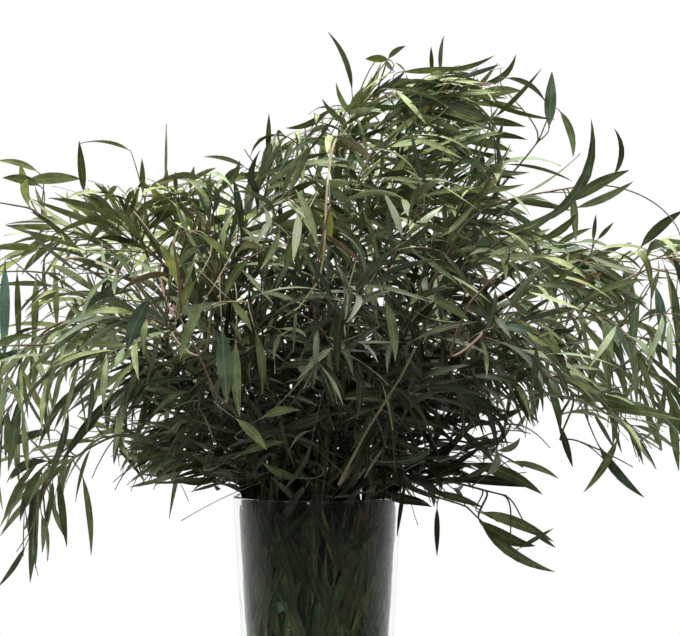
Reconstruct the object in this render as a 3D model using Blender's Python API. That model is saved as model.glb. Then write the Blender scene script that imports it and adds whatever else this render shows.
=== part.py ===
"""Willow peppermint stems standing in a clear, slightly tapered glass vase.

Metres, +Z up. The origin is the centre of the vase's foot, and the front of the bunch faces -Y.
A woody stem carries leafy shoots. Each shoot is a thin twig whose leaves grow out of its small faces.
"""

import math
import random
from typing import NamedTuple

import bmesh
import bpy
from mathutils import Vector
from mathutils.bvhtree import BVHTree

# Vase
VASE_HEIGHT = 0.250
VASE_RIM_RADIUS = 0.076
VASE_FOOT_RADIUS = 0.061
VASE_WALL = 0.0040
VASE_FLOOR = 0.012
VASE_FOOT_EDGE = 0.0025
VASE_SIDES = 48
RIM_STEPS = 4

# Clear space between two pieces that touch
GAP = 0.0003

# Free space kept down the middle of the vase, square in plan
FREE_HALF_SIDE = 0.0132
FREE_LOW = 0.0125
FREE_HIGH = 0.252

# Woody stems
STEM_SIDES = 7
STEM_FOOT_RADIUS = 0.0030
STEM_END_RADIUS = 0.0014
STEM_STEPS_IN_VASE = 3
STEM_STEPS_ABOVE = 9
FOOT_SHARE_OF_RIM = 0.84
STEM_SWIRL = math.radians(34)
STEM_PULL_AT_RIM = 0.42
STEM_PULL_AT_END = 0.36

# Twigs of the leafy shoots
TWIG_SIDES = 3
TWIG_FOOT_RADIUS = 0.0013
TWIG_END_RADIUS = 0.0007
SHOOT_ANGLE = math.radians(38)
TWIG_PULL_AT_FOOT = 0.36
TWIG_PULL_AT_END = 0.34
TWIG_COLLAR = 0.0040
JOINT_LENGTH = 0.0024
LEAF_SPACING = 0.0190
JOINT_ROLL = math.radians(23)
CURVE_STEPS = 40

# Leaves
LEAF_LENGTH = (0.062, 0.098)
LEAF_WIDTH = (0.0058, 0.0082)
LEAF_THICKNESS = 0.0005
LEAF_SPREAD = (math.radians(24), math.radians(52))
LEAF_DROOP = (0.15, 0.85)
LEAF_SICKLE = (-0.30, 0.30)
LEAF_ROLL = 0.35
WIDEST_AT = 0.46
LEAF_TRIES = 14
LEAF_CLEARANCE = 0.0005
LEAF_ROOT_LEFT_OUT = 0.13
LEAF_ROOT_RADIUS = 0.0014

UP = Vector((0, 0, 1))


class Stem(NamedTuple):
    """A woody stem: where it passes the rim (degrees and metres from the axis) and where it ends."""

    name: str
    rim_angle: float
    rim_radius: float
    end: tuple
    sag: float


class Shoot(NamedTuple):
    """A leafy shoot: the stem that carries it, its place along that stem, its twig's end and its sag."""

    name: str
    stem: str
    share: float
    end: tuple
    sag: float


class Blade(NamedTuple):
    """A leaf: the middle of its widest place, half its width and half its thickness there, and its point."""

    middle: Vector
    half: Vector
    rise: Vector
    tip: Vector


STEMS = (
    Stem("stem_right_low", -6, 0.062, (0.205, -0.030, 0.415), 0.55),
    Stem("stem_right_back", 38, 0.060, (0.165, 0.120, 0.445), 0.10),
    Stem("stem_back_right", 78, 0.060, (0.060, 0.185, 0.440), 0.25),
    Stem("stem_back_left", 122, 0.060, (-0.095, 0.165, 0.430), 0.20),
    Stem("stem_left_back", 158, 0.060, (-0.170, 0.070, 0.445), 0.05),
    Stem("stem_left_low", 196, 0.062, (-0.205, -0.035, 0.405), 0.60),
    Stem("stem_front_left", 234, 0.061, (-0.110, -0.155, 0.390), 0.35),
    Stem("stem_front", 274, 0.061, (0.010, -0.185, 0.375), 0.50),
    Stem("stem_front_right", 316, 0.061, (0.130, -0.140, 0.390), 0.35),
    Stem("stem_crown_right", 12, 0.029, (0.150, 0.020, 0.500), -0.05),
    Stem("stem_crown_middle", 84, 0.028, (0.075, 0.060, 0.515), -0.10),
    Stem("stem_crown_left", 156, 0.029, (0.010, 0.020, 0.500), -0.15),
    Stem("stem_left_high", 222, 0.030, (-0.115, -0.030, 0.430), 0.05),
    Stem("stem_right_high", 306, 0.030, (0.120, -0.060, 0.475), 0.05),
)

SHOOTS = (
    # Crown
    Shoot("shoot_crown_1", "stem_crown_left", 1.0, (0.032, 0.000, 0.595), -0.2),
    Shoot("shoot_crown_2", "stem_crown_left", 0.80, (-0.035, -0.025, 0.520), -0.1),
    Shoot("shoot_crown_3", "stem_crown_left", 0.66, (0.050, -0.060, 0.510), 0.1),
    Shoot("shoot_crown_4", "stem_crown_middle", 1.0, (0.118, 0.045, 0.600), 0.1),
    Shoot("shoot_crown_5", "stem_crown_middle", 0.84, (0.080, -0.030, 0.580), 0.0),
    Shoot("shoot_crown_6", "stem_crown_middle", 0.70, (0.030, 0.110, 0.535), 0.0),
    Shoot("shoot_crown_7", "stem_crown_right", 1.0, (0.200, 0.010, 0.570), 0.0),
    Shoot("shoot_crown_8", "stem_crown_right", 0.84, (0.160, 0.060, 0.570), 0.5),
    Shoot("shoot_crown_9", "stem_crown_right", 0.72, (0.158, -0.055, 0.540), 0.5),
    # Right wing
    Shoot("shoot_right_1", "stem_right_high", 1.0, (0.230, -0.070, 0.525), 0.2),
    Shoot("shoot_right_2", "stem_right_high", 0.80, (0.165, -0.140, 0.480), 0.2),
    Shoot("shoot_right_3", "stem_right_back", 1.0, (0.270, 0.140, 0.465), 0.5),
    Shoot("shoot_right_4", "stem_right_back", 0.78, (0.245, 0.050, 0.455), 0.3),
    Shoot("shoot_right_5", "stem_right_low", 1.0, (0.285, -0.050, 0.370), 1.0),
    Shoot("shoot_right_6", "stem_right_low", 0.82, (0.270, 0.020, 0.405), 0.6),
    Shoot("shoot_right_7", "stem_right_low", 0.70, (0.220, -0.110, 0.345), 0.8),
    Shoot("shoot_right_8", "stem_right_low", 0.59, (0.185, 0.000, 0.275), 0.5),
    Shoot("shoot_rim_right", "stem_front_right", 0.55, (0.165, -0.085, 0.255), 0.2),
    # Left wing
    Shoot("shoot_left_1", "stem_left_high", 1.0, (-0.185, -0.060, 0.495), 0.0),
    Shoot("shoot_left_2", "stem_left_high", 0.82, (-0.085, -0.110, 0.475), 0.1),
    Shoot("shoot_left_3", "stem_left_back", 1.0, (-0.255, 0.080, 0.500), 0.4),
    Shoot("shoot_left_4", "stem_left_back", 0.78, (-0.110, 0.060, 0.490), 0.0),
    Shoot("shoot_left_5", "stem_left_back", 0.66, (-0.250, 0.020, 0.440), 0.5),
    Shoot("shoot_left_6", "stem_left_low", 1.0, (-0.275, -0.055, 0.345), 1.0),
    Shoot("shoot_left_7", "stem_left_low", 0.80, (-0.225, -0.115, 0.370), 0.6),
    Shoot("shoot_left_8", "stem_left_low", 0.62, (-0.245, -0.020, 0.255), 1.2),
    Shoot("shoot_rim_left", "stem_front_left", 0.56, (-0.140, -0.110, 0.290), 0.5),
    # Front
    Shoot("shoot_front_1", "stem_front_left", 1.0, (-0.155, -0.210, 0.410), 0.4),
    Shoot("shoot_front_2", "stem_front_left", 0.76, (-0.045, -0.175, 0.440), 0.1),
    Shoot("shoot_front_3", "stem_front", 1.0, (0.015, -0.250, 0.385), 0.6),
    Shoot("shoot_front_4", "stem_front", 0.72, (0.060, -0.180, 0.330), 0.5),
    Shoot("shoot_front_5", "stem_front", 0.60, (-0.060, -0.165, 0.310), 0.5),
    Shoot("shoot_front_6", "stem_front_right", 1.0, (0.185, -0.190, 0.395), 0.5),
    Shoot("shoot_front_7", "stem_front_right", 0.76, (0.085, -0.175, 0.430), 0.1),
    # Low in the bunch, just above the rim
    Shoot("shoot_low_1", "stem_crown_left", 0.52, (-0.012, -0.095, 0.365), 0.2),
    Shoot("shoot_low_2", "stem_right_high", 0.52, (0.085, -0.105, 0.340), 0.3),
    Shoot("shoot_low_3", "stem_left_high", 0.54, (-0.150, -0.055, 0.345), 0.4),
    # Back
    Shoot("shoot_back_1", "stem_back_right", 1.0, (0.085, 0.250, 0.475), 0.4),
    Shoot("shoot_back_2", "stem_back_right", 0.76, (0.150, 0.175, 0.390), 0.4),
    Shoot("shoot_back_3", "stem_back_right", 0.60, (0.020, 0.185, 0.340), 0.6),
    Shoot("shoot_back_4", "stem_back_left", 1.0, (-0.145, 0.220, 0.465), 0.3),
    Shoot("shoot_back_5", "stem_back_left", 0.66, (-0.150, 0.140, 0.360), 0.4),
    # Inside the vase
    Shoot("shoot_vase_1", "stem_front", 0.07, (0.010, -0.054, 0.155), -0.2),
    Shoot("shoot_vase_2", "stem_front_left", 0.07, (-0.030, -0.046, 0.150), -0.2),
    Shoot("shoot_vase_3", "stem_front_right", 0.08, (0.048, -0.034, 0.150), -0.2),
)


def clear_scene():
    """Removes whatever the opened file holds."""
    for obj in list(bpy.data.objects):
        bpy.data.objects.remove(obj, do_unlink=True)


def finish(name, colour, roughness):
    """A plain material of one colour and roughness."""
    material = bpy.data.materials.new(name)
    material.use_nodes = True
    shader = material.node_tree.nodes["Principled BSDF"]
    shader.inputs["Base Color"].default_value = (*colour, 1)
    shader.inputs["Roughness"].default_value = roughness
    return material


def clear_glass():
    """Clear glass with a trace of green."""
    material = finish("clear_glass", (0.93, 0.97, 0.95), 0.03)
    shader = material.node_tree.nodes["Principled BSDF"]
    shader.inputs["Transmission Weight"].default_value = 1
    shader.inputs["IOR"].default_value = 1.5
    return material


def object_from(bm, name, material):
    """Stores the mesh as a named object."""
    mesh = bpy.data.meshes.new(name)
    bm.to_mesh(mesh)
    bm.free()
    mesh.materials.append(material)
    obj = bpy.data.objects.new(name, mesh)
    bpy.context.scene.collection.objects.link(obj)
    return obj


def outer_radius(height):
    """The vase's outer radius at a height."""
    return VASE_FOOT_RADIUS + (VASE_RIM_RADIUS - VASE_FOOT_RADIUS) * height / VASE_HEIGHT


def vase_profile():
    """The vase's half section, from the middle of the foot round the rim to the middle of the floor."""
    half = VASE_WALL / 2
    rim_middle = VASE_RIM_RADIUS - half
    points = [(0, 0), (VASE_FOOT_RADIUS - VASE_FOOT_EDGE, 0)]
    points += [(outer_radius(height), height) for height in (VASE_FOOT_EDGE, VASE_HEIGHT / 2)]
    for step in range(RIM_STEPS + 1):
        turn = math.pi * step / RIM_STEPS
        points.append((rim_middle + half * math.cos(turn), VASE_HEIGHT - half + half * math.sin(turn)))
    points.append((outer_radius(VASE_HEIGHT / 2) - VASE_WALL, VASE_HEIGHT / 2))
    points.append((outer_radius(VASE_FLOOR) - VASE_WALL, VASE_FLOOR + VASE_FOOT_EDGE))
    points.append((outer_radius(VASE_FLOOR) - VASE_WALL - VASE_FOOT_EDGE, VASE_FLOOR))
    points.append((0, VASE_FLOOR))
    return points


def build_vase(material):
    """The vase, turned from its half section."""
    bm = bmesh.new()
    corners = [bm.verts.new((across, 0, up)) for across, up in vase_profile()]
    edges = [bm.edges.new(pair) for pair in zip(corners, corners[1:])]
    bmesh.ops.spin(
        bm,
        geom=corners + edges,
        cent=(0, 0, 0),
        axis=(0, 0, 1),
        angle=math.tau,
        steps=VASE_SIDES,
        use_merge=True,
    )
    bmesh.ops.remove_doubles(bm, verts=bm.verts, dist=1e-6)
    bmesh.ops.recalc_face_normals(bm, faces=bm.faces)
    vase = object_from(bm, "glass_vase", material)
    vase.data.shade_smooth()
    vase.data.set_sharp_from_angle(angle=math.radians(35))
    return vase


def bezier(a, b, c, d, share):
    """The point at this share of a cubic curve."""
    rest = 1 - share
    return a * rest**3 + b * (3 * share * rest**2) + c * (3 * share**2 * rest) + d * share**3


def lengths_along(points):
    """The distance from the first point to each point, along the line."""
    total = [0.0]
    for first, second in zip(points, points[1:]):
        total.append(total[-1] + (second - first).length)
    return total


def place_along(points, distance):
    """The point at a distance along a line of points, and the line's direction there."""
    lengths = lengths_along(points)
    index = 0
    while index < len(points) - 2 and lengths[index + 1] < distance:
        index += 1
    span = lengths[index + 1] - lengths[index]
    share = (distance - lengths[index]) / span
    return points[index].lerp(points[index + 1], share), (points[index + 1] - points[index]) / span


def on_circle(radius, angle, height):
    """A point at an angle round the vase's axis."""
    return Vector((radius * math.cos(angle), radius * math.sin(angle), height))


def stem_points(stem):
    """A stem's middle line: straight up through the vase, then out in one arch."""
    angle = math.radians(stem.rim_angle)
    rim = on_circle(stem.rim_radius, angle, VASE_HEIGHT)
    foot_radius = stem.rim_radius * FOOT_SHARE_OF_RIM
    foot = on_circle(foot_radius, angle - STEM_SWIRL, VASE_FLOOR + GAP)
    end = Vector(stem.end)
    reach = (end - rim).length
    leaving = (rim - foot).normalized()
    arriving = ((end - rim).normalized() - UP * stem.sag).normalized()
    line = [foot.lerp(rim, step / STEM_STEPS_IN_VASE) for step in range(STEM_STEPS_IN_VASE)]
    for step in range(STEM_STEPS_ABOVE + 1):
        share = step / STEM_STEPS_ABOVE
        outer = rim + leaving * reach * STEM_PULL_AT_RIM
        inner = end - arriving * reach * STEM_PULL_AT_END
        line.append(bezier(rim, outer, inner, end, share))
    return line


def stem_radius(share):
    """A stem's radius at a share of its length."""
    return STEM_FOOT_RADIUS + (STEM_END_RADIUS - STEM_FOOT_RADIUS) * share


def ring(point, ahead, side, radius, count, roll=0.0):
    """Corners of a regular ring square to the way ahead, counter-clockwise seen from ahead."""
    across = ahead.cross(side)
    turns = [roll + math.tau * corner / count for corner in range(count)]
    return [point + (side * math.cos(turn) + across * math.sin(turn)) * radius for turn in turns]


def squared(side, ahead):
    """The side direction made square to the way ahead."""
    return (side - ahead * side.dot(ahead)).normalized()


def any_side(ahead):
    """Some direction square to the way ahead."""
    other = Vector((1, 0, 0)) if abs(ahead.x) < 0.7 else Vector((0, 1, 0))
    return squared(other, ahead)


def first_length(bm, low, high):
    """A closed prism between two rings of corners. Returns its far end face."""
    bmesh.ops.create_cone(bm, cap_ends=True, segments=len(low), radius1=1, radius2=1, depth=2)
    far = max(bm.faces, key=lambda face: face.calc_center_median().z)
    ends = set(far.verts)
    for loop, below, above in zip(far.loops, low, high):
        feet = [edge.other_vert(loop.vert) for edge in loop.vert.link_edges]
        foot = next(vert for vert in feet if vert not in ends)
        foot.co = below
        loop.vert.co = above
    return far


def extruded(bm, face, places):
    """Extrudes one face and puts the new face's corners at these places."""
    grown = bmesh.ops.extrude_discrete_faces(bm, faces=[face])["faces"][0]
    for loop, place in zip(grown.loops, places):
        loop.vert.co = place
    return grown


def build_stem(stem, material):
    """A woody stem, extruded along its middle line."""
    line = stem_points(stem)
    lengths = lengths_along(line)
    rings = []
    side = None
    for index, point in enumerate(line):
        before = line[max(index - 1, 0)]
        after = line[min(index + 1, len(line) - 1)]
        ahead = (after - before).normalized() if index else UP
        side = squared(side, ahead) if side else any_side(ahead)
        radius = stem_radius(lengths[index] / lengths[-1])
        rings.append(ring(point, ahead, side, radius, STEM_SIDES))
    bm = bmesh.new()
    face = first_length(bm, rings[0], rings[1])
    for places in rings[2:]:
        face = extruded(bm, face, places)
    obj = object_from(bm, stem.name, material)
    obj.data.shade_smooth()
    obj.data.set_sharp_from_angle(angle=math.radians(60))
    return obj


def twig_start(shoot, line):
    """Where a twig leaves its stem, and the direction square to the stem's surface there."""
    total = lengths_along(line)[-1]
    point, along = place_along(line, total * shoot.share)
    if shoot.share == 1:
        return line[-1] + along * GAP, along, along
    out = squared(Vector(shoot.end) - point, along)
    return point + out * (stem_radius(shoot.share) + GAP), out, along


def twig_points(shoot, line):
    """A twig's middle line as a fine row of points, and the direction its foot faces."""
    start, out, along = twig_start(shoot, line)
    end = Vector(shoot.end)
    reach = (end - start).length
    leaving = out * math.sin(SHOOT_ANGLE) + along * math.cos(SHOOT_ANGLE)
    arriving = ((end - start).normalized() - UP * shoot.sag).normalized()
    collar = start + out * TWIG_COLLAR
    outer = collar + leaving * reach * TWIG_PULL_AT_FOOT
    inner = end - arriving * reach * TWIG_PULL_AT_END
    curve = [bezier(collar, outer, inner, end, step / CURVE_STEPS) for step in range(CURVE_STEPS + 1)]
    return [start] + curve, out


def twig_rings(points, facing):
    """A twig's rings: a collar at its foot, then a short joint for each pair of leaves."""
    total = lengths_along(points)[-1]
    joints = max(3, round((total - TWIG_COLLAR) / LEAF_SPACING))
    spacing = (total - TWIG_COLLAR - JOINT_LENGTH) / joints
    side = any_side(facing)
    rings = [ring(points[0], facing, side, TWIG_FOOT_RADIUS, TWIG_SIDES)]
    for joint in range(1, joints + 1):
        for distance in (0, JOINT_LENGTH):
            where = TWIG_COLLAR + spacing * joint + distance
            point, ahead = place_along(points, min(where, total))
            side = squared(side, ahead)
            share = where / total
            radius = TWIG_FOOT_RADIUS + (TWIG_END_RADIUS - TWIG_FOOT_RADIUS) * share
            rings.append(ring(point, ahead, side, radius, TWIG_SIDES, JOINT_ROLL * joint))
    return rings


def centre_of(points):
    """The mean of some points."""
    return sum(points, Vector()) / len(points)


def blade_from(root, facing, ahead, chance):
    """A leaf that leaves its twig between the face's direction and the way ahead, then droops."""
    spread = chance.uniform(*LEAF_SPREAD)
    out = (ahead * math.cos(spread) + facing * math.sin(spread)).normalized()
    length = chance.uniform(*LEAF_LENGTH)
    width = chance.uniform(*LEAF_WIDTH)
    roll = chance.choice((0, math.pi / 2)) + chance.uniform(-LEAF_ROLL, LEAF_ROLL)
    beside = squared(ahead.cross(facing) if abs(ahead.dot(facing)) < 0.97 else any_side(out), out)
    across = beside * math.cos(roll) + out.cross(beside) * math.sin(roll)
    droop = chance.uniform(*LEAF_DROOP)
    sickle = chance.uniform(*LEAF_SICKLE)
    bent = (out - UP * droop * 0.35).normalized()
    further = (out - UP * droop + across * sickle).normalized()
    middle = root + bent * length * WIDEST_AT
    tip = middle + further * length * (1 - WIDEST_AT)
    across = squared(across, (tip - root).normalized())
    above = (tip - root).normalized().cross(across)
    return Blade(middle, across * width / 2, above * LEAF_THICKNESS / 2, tip)


def corners(blade, spare=0.0):
    """A leaf's four corners at its widest place, in turn, with some spare space all round."""
    half = blade.half + blade.half.normalized() * spare
    rise = blade.rise + blade.rise.normalized() * spare
    middle = blade.middle
    return [middle + half + rise, middle - half + rise, middle - half - rise, middle + half - rise]


def blade_solid(root, blade, start):
    """Points and triangles that wrap a leaf with a little clearance, leaving out this share of its root."""
    across = blade.half.normalized() * LEAF_ROOT_RADIUS
    above = blade.rise.normalized() * LEAF_ROOT_RADIUS
    low = corners(Blade(root.lerp(blade.middle, start), across, above, blade.tip))
    tip = blade.tip + (blade.tip - blade.middle).normalized() * LEAF_CLEARANCE
    points = low + corners(blade, LEAF_CLEARANCE) + [tip]
    faces = []
    for corner in range(4):
        after = (corner + 1) % 4
        faces += [(corner, after, after + 4), (corner, after + 4, corner + 4), (corner + 4, after + 4, 8)]
    return points, faces


class Solid:
    """The triangles of something already placed, with its box."""

    def __init__(self, points, faces, owner):
        self.tree = BVHTree.FromPolygons(points, faces)
        self.low = [min(point[axis] for point in points) for axis in range(3)]
        self.high = [max(point[axis] for point in points) for axis in range(3)]
        self.owner = owner

    def meets(self, other):
        """True where the two surfaces cross."""
        for axis in range(3):
            if self.low[axis] > other.high[axis] or other.low[axis] > self.high[axis]:
                return False
        return bool(self.tree.overlap(other.tree))


def solid_of(obj):
    """The triangles of a finished object."""
    mesh = obj.data
    points = [vert.co.copy() for vert in mesh.vertices]
    faces = [tuple(face.vertices) for face in mesh.polygons]
    return Solid(points, faces, obj.name)


def free_middle():
    """The space down the middle of the vase that leaves keep out of."""
    sides = (-FREE_HALF_SIDE, FREE_HALF_SIDE)
    points = [Vector((x, y, z)) for z in (FREE_LOW, FREE_HIGH) for y in sides for x in sides]
    faces = [(0, 1, 3, 2), (4, 5, 7, 6), (0, 1, 5, 4), (2, 3, 7, 6), (0, 2, 6, 4), (1, 3, 7, 5)]
    return Solid(points, faces, "free_middle")


def rings_solid(rings, owner):
    """The triangles of a twig's side, from its rings."""
    points = [corner for places in rings for corner in places]
    faces = []
    for index in range(len(rings) - 1):
        for corner in range(TWIG_SIDES):
            after = (corner + 1) % TWIG_SIDES
            low = index * TWIG_SIDES
            high = low + TWIG_SIDES
            faces.append((low + corner, low + after, high + after))
            faces.append((low + corner, high + after, high + corner))
    return Solid(points, faces, owner)


def free_blade(root, facing, ahead, owner, placed, chance):
    """A leaf that crosses nothing placed before it, or None after a number of tries."""
    for _ in range(LEAF_TRIES):
        blade = blade_from(root, facing, ahead, chance)
        whole = Solid(*blade_solid(root, blade, 0.0), owner)
        outer = Solid(*blade_solid(root, blade, LEAF_ROOT_LEFT_OUT), owner)
        if not any((outer if other.owner == owner else whole).meets(other) for other in placed):
            placed.append(whole)
            return blade
    return None


def matched(face, places):
    """The places in the order that suits the face's corners best, with the least twist."""
    middle = centre_of(places)
    root = face.calc_center_median()
    corners = [loop.vert.co - root for loop in face.loops]
    count = len(places)
    orders = [[places[(start + step) % count] for step in range(count)] for start in range(count)]
    return max(orders, key=lambda order: sum(c.dot(p - middle) for c, p in zip(corners, order)))


def split_outwards(wall):
    """Splits a four-sided wall along the diagonal that bulges outwards, so that opposite walls stay apart."""
    wall.normal_update()
    first, second, third, fourth = wall.verts
    diagonals = ((first, third), (second, fourth))
    bmesh.utils.face_split(wall, *max(diagonals, key=lambda pair: (pair[0].co + pair[1].co).dot(wall.normal)))


def grow_leaf(bm, face, blade):
    """Draws a leaf out of one face of the twig: to its widest place, then on to its point."""
    places = corners(blade)
    if len(face.verts) == 3:
        places = [places[0], places[1], blade.middle - blade.rise]
    widest = extruded(bm, face, matched(face, places))
    for wall in [loop.link_loop_radial_next.face for loop in widest.loops]:
        split_outwards(wall)
    tip = bmesh.ops.poke(bm, faces=[widest])["verts"][0]
    tip.co = blade.tip


def build_shoot(shoot, rings, placed, chance, material):
    """A twig with its leaves, in one closed mesh."""
    bm = bmesh.new()
    end = first_length(bm, rings[0], rings[1])
    buds = []
    for index, places in enumerate(rings[2:]):
        end = extruded(bm, end, places)
        if index % 2 == 0:
            sides = [loop.link_loop_radial_next.face for loop in end.loops]
            first = index // 2 % TWIG_SIDES
            ahead = (end.calc_center_median() - centre_of(rings[index + 1])).normalized()
            buds += [(sides[first], ahead), (sides[(first + 1) % TWIG_SIDES], ahead)]
    buds.insert(0, (end, ahead))
    for face, ahead in buds:
        face.normal_update()
        root = face.calc_center_median()
        blade = free_blade(root, face.normal.copy(), ahead, shoot.name, placed, chance)
        if blade:
            grow_leaf(bm, face, blade)
    return object_from(bm, shoot.name, material)


def main():
    """Builds the vase, then the stems, then the shoots with their leaves."""
    clear_scene()
    glass = clear_glass()
    bark = finish("twig_bark", (0.20, 0.13, 0.08), 0.75)
    leaf = finish("leaf_green", (0.10, 0.15, 0.09), 0.55)
    lines = {stem.name: stem_points(stem) for stem in STEMS}
    placed = [solid_of(build_vase(glass))]
    placed += [solid_of(build_stem(stem, bark)) for stem in STEMS]
    placed.append(free_middle())
    twigs = {}
    for shoot in SHOOTS:
        points, facing = twig_points(shoot, lines[shoot.stem])
        twigs[shoot.name] = twig_rings(points, facing)
        placed.append(rings_solid(twigs[shoot.name], shoot.name))
    for number, shoot in enumerate(SHOOTS):
        build_shoot(shoot, twigs[shoot.name], placed, random.Random(number), leaf)


main()
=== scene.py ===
"""Looks of a bunch of willow peppermint stems that stand in a clear, slightly tapered glass vase.

Metres, +Z up. The origin is the centre of the vase's foot, and the front of the bunch faces -Y.
One leaf, one twig and one woody stem are modelled by hand, then copied and bent along their own lines.
"""

import logging
import math
import random
from collections import Counter
from dataclasses import dataclass, field, replace
from enum import Enum
from typing import Callable, Sequence

import bpy
import numpy as np
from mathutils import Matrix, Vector


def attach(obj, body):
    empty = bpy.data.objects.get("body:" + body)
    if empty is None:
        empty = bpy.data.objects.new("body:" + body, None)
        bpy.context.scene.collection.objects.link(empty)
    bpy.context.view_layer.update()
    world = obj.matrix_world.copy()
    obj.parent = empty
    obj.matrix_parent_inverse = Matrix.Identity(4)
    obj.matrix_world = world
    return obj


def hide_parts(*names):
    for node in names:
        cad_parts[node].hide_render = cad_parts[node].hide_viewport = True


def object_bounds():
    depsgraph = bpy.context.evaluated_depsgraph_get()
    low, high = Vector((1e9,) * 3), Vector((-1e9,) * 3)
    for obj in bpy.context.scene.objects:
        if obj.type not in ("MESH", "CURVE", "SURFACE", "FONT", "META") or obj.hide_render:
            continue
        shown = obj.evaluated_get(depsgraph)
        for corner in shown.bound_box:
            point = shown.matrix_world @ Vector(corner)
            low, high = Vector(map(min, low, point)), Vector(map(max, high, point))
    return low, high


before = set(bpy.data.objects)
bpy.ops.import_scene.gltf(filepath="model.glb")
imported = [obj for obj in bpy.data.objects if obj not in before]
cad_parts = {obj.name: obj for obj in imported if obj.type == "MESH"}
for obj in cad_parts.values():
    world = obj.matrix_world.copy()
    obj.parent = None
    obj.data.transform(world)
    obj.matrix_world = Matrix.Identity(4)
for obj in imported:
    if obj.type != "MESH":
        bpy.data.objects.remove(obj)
CAD_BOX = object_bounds()
BODY = "root"
LOG = logging.getLogger("peppermint")

Colour = tuple[float, float, float]
Point = tuple[float, float, float]
Pixel = tuple[float, float]
Range = tuple[float, float]

# The vase and the gap between touching pieces, as built
VASE_HEIGHT = 0.250
VASE_RIM_RADIUS = 0.076
VASE_FOOT_RADIUS = 0.061
VASE_WALL = 0.0040
VASE_FLOOR = 0.012
GAP = 0.0003

# The lines of stems and twigs, as built
FOOT_SHARE_OF_RIM = 0.84
STEM_SWIRL = math.radians(34)
STEM_PULL_AT_RIM = 0.42
STEM_PULL_AT_END = 0.36
STEM_FOOT_RADIUS = 0.0030
STEM_END_RADIUS = 0.0014
SHOOT_ANGLE = math.radians(38)
TWIG_PULL_AT_FOOT = 0.36
TWIG_PULL_AT_END = 0.34
TWIG_FOOT_RADIUS = 0.0013
TWIG_END_RADIUS = 0.0007
TWIG_COLLAR = 0.0040
STEM_STEPS = 36
STEM_FOOT_STEPS = 24
TWIG_STEPS = 40

# Room that leaves keep to the glass and to the edges of the whole object's box
GLASS_CLEARANCE = 0.0016
PRESSED_LEAF = 0.0012
BOX_MARGIN = 0.014
FREE_MIDDLE = 0.0150

# The heart of the bunch, where leaves and twigs are darkened by painted shade, and how far that painted shade
# reaches. It starts to fade at a share of that reach, and fades out over another
PAINTED_SHADE_HEART = np.array((0.035, -0.10, 0.32))
PAINTED_SHADE_REACH = np.array((0.24, 0.33, 0.18))
PAINTED_SHADE_EDGE = 0.45
PAINTED_SHADE_FADE = 0.60

# How much the leaves of one shoot differ from its tone
LIGHT_RANGE = (0.10, 1.70)
LIGHT_CURVE = 1.5
TIP_LIGHT = 0.06
BLUE_RANGE = (0.0, 2.2)
YELLOW_RANGE = (0.0, 1.6)
MOST_RED = 0.4

# The photograph's frame: pixels, the axis and rim of the vase in it, and metres to a pixel at the vase
PHOTO_AXIS = 317.5
PHOTO_RIM = 495.0
PIXEL = 0.0009
VASE_SIDES_IN_PHOTO = (243, 392)
RIM_FRONT_IN_PHOTO = 520
CAMERA = np.array((0.02025, -2.40, 0.4093))

# The bunch's outline as seen from the front, in pixels of the photograph. The mean and spread of the factor
# that swells it for each leaf or twig, and the points of a leaf or twig that must lie in it, follow
OUTLINE = (
    (-70, 155), (60, 160), (84, 182), (118, 184), (150, 176), (250, 172), (262, 138), (300, 116), (338, 94),
    (352, 72), (400, 66), (470, 70), (500, 66), (507, 100), (509, 205), (556, 234), (600, 244), (640, 246),
    (690, 225), (770, 240), (770, 475), (660, 475), (610, 455), (575, 400), (545, 410), (508, 455),
    (470, 488), (440, 502), (398, 502), (240, 490), (118, 487), (110, 440), (66, 445), (60, 550), (30, 588),
    (-70, 560),
)
MIDDLE_OF_OUTLINE = np.array((330.0, 330.0))
OUTLINE_SWELL = (0.99, 0.028)
JUDGED = [3, 6, -1]

UP = np.array((0.0, 0.0, 1.0))
FACING_Y = (math.pi / 2, 0, 0)

# Leaves and twigs that the photograph shows clearly: how much nearer their tips are, the pull that gives
# their bow, how much wider they are than they show, and the least light that painted shade leaves on each
# kind
TIP_NEARER = 0.006
PULL_OF_BOW = 1.33
CLEAR_LEAF_WIDER = 1.1
PRESSED_LEAF_PAINTED_LIGHT = 0.45
CLEAR_LEAF_PAINTED_LIGHT = 0.70
CLEAR_TWIG_PAINTED_LIGHT = 0.85

# Leafy side twigs placed by the photograph: how far forward they lean, and the side twigs of their own
SPRIG_FORWARD = (-0.02, 0.03)
SPRIG_TWIG_SHARES = (0.2, 0.4, 0.6, 0.8)
SPRIG_TWIG_LENGTH = (0.03, 0.05)

TINT = "tint"
LEAF_MAP = "leaf_map"


class Slot(Enum):
    """The record's material slots."""

    GLASS = "clear_glass"
    BARK = "bark"
    LEAF = "leaf"


@dataclass(frozen=True)
class Growth:
    """How a shoot holds its leaves: angles from the twig, how far they sink, and the way all of them lean."""

    spread: Range
    droop: Range
    lean: Point
    length: Range = (0.040, 0.084)
    width: Range = (0.0048, 0.0082)
    bow: float = 0.70


class Habit(Enum):
    """The ways that shoots grow in this bunch."""

    STREAMING = Growth((0.20, 1.00), (0.00, 0.50), (0.85, -0.05, 0.00))
    HANGING = Growth((0.30, 1.20), (0.60, 1.80), (0.00, -0.05, -0.35))
    SPREADING = Growth((0.40, 1.35), (0.10, 1.00), (0.00, 0.00, 0.00))
    UPRIGHT = Growth((0.20, 0.95), (0.00, 0.50), (0.00, 0.00, 0.40))
    SWEEPING_LEFT = Growth((0.25, 1.20), (0.10, 1.10), (-0.40, -0.05, 0.00))
    SWEEPING_RIGHT = Growth((0.25, 1.20), (0.20, 1.20), (0.45, -0.05, -0.05))
    PACKED = Growth((0.10, 0.50), (-0.20, 0.20), (0.00, 0.00, 0.20), (0.055, 0.090), (0.0060, 0.0095), 0.30)


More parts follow.
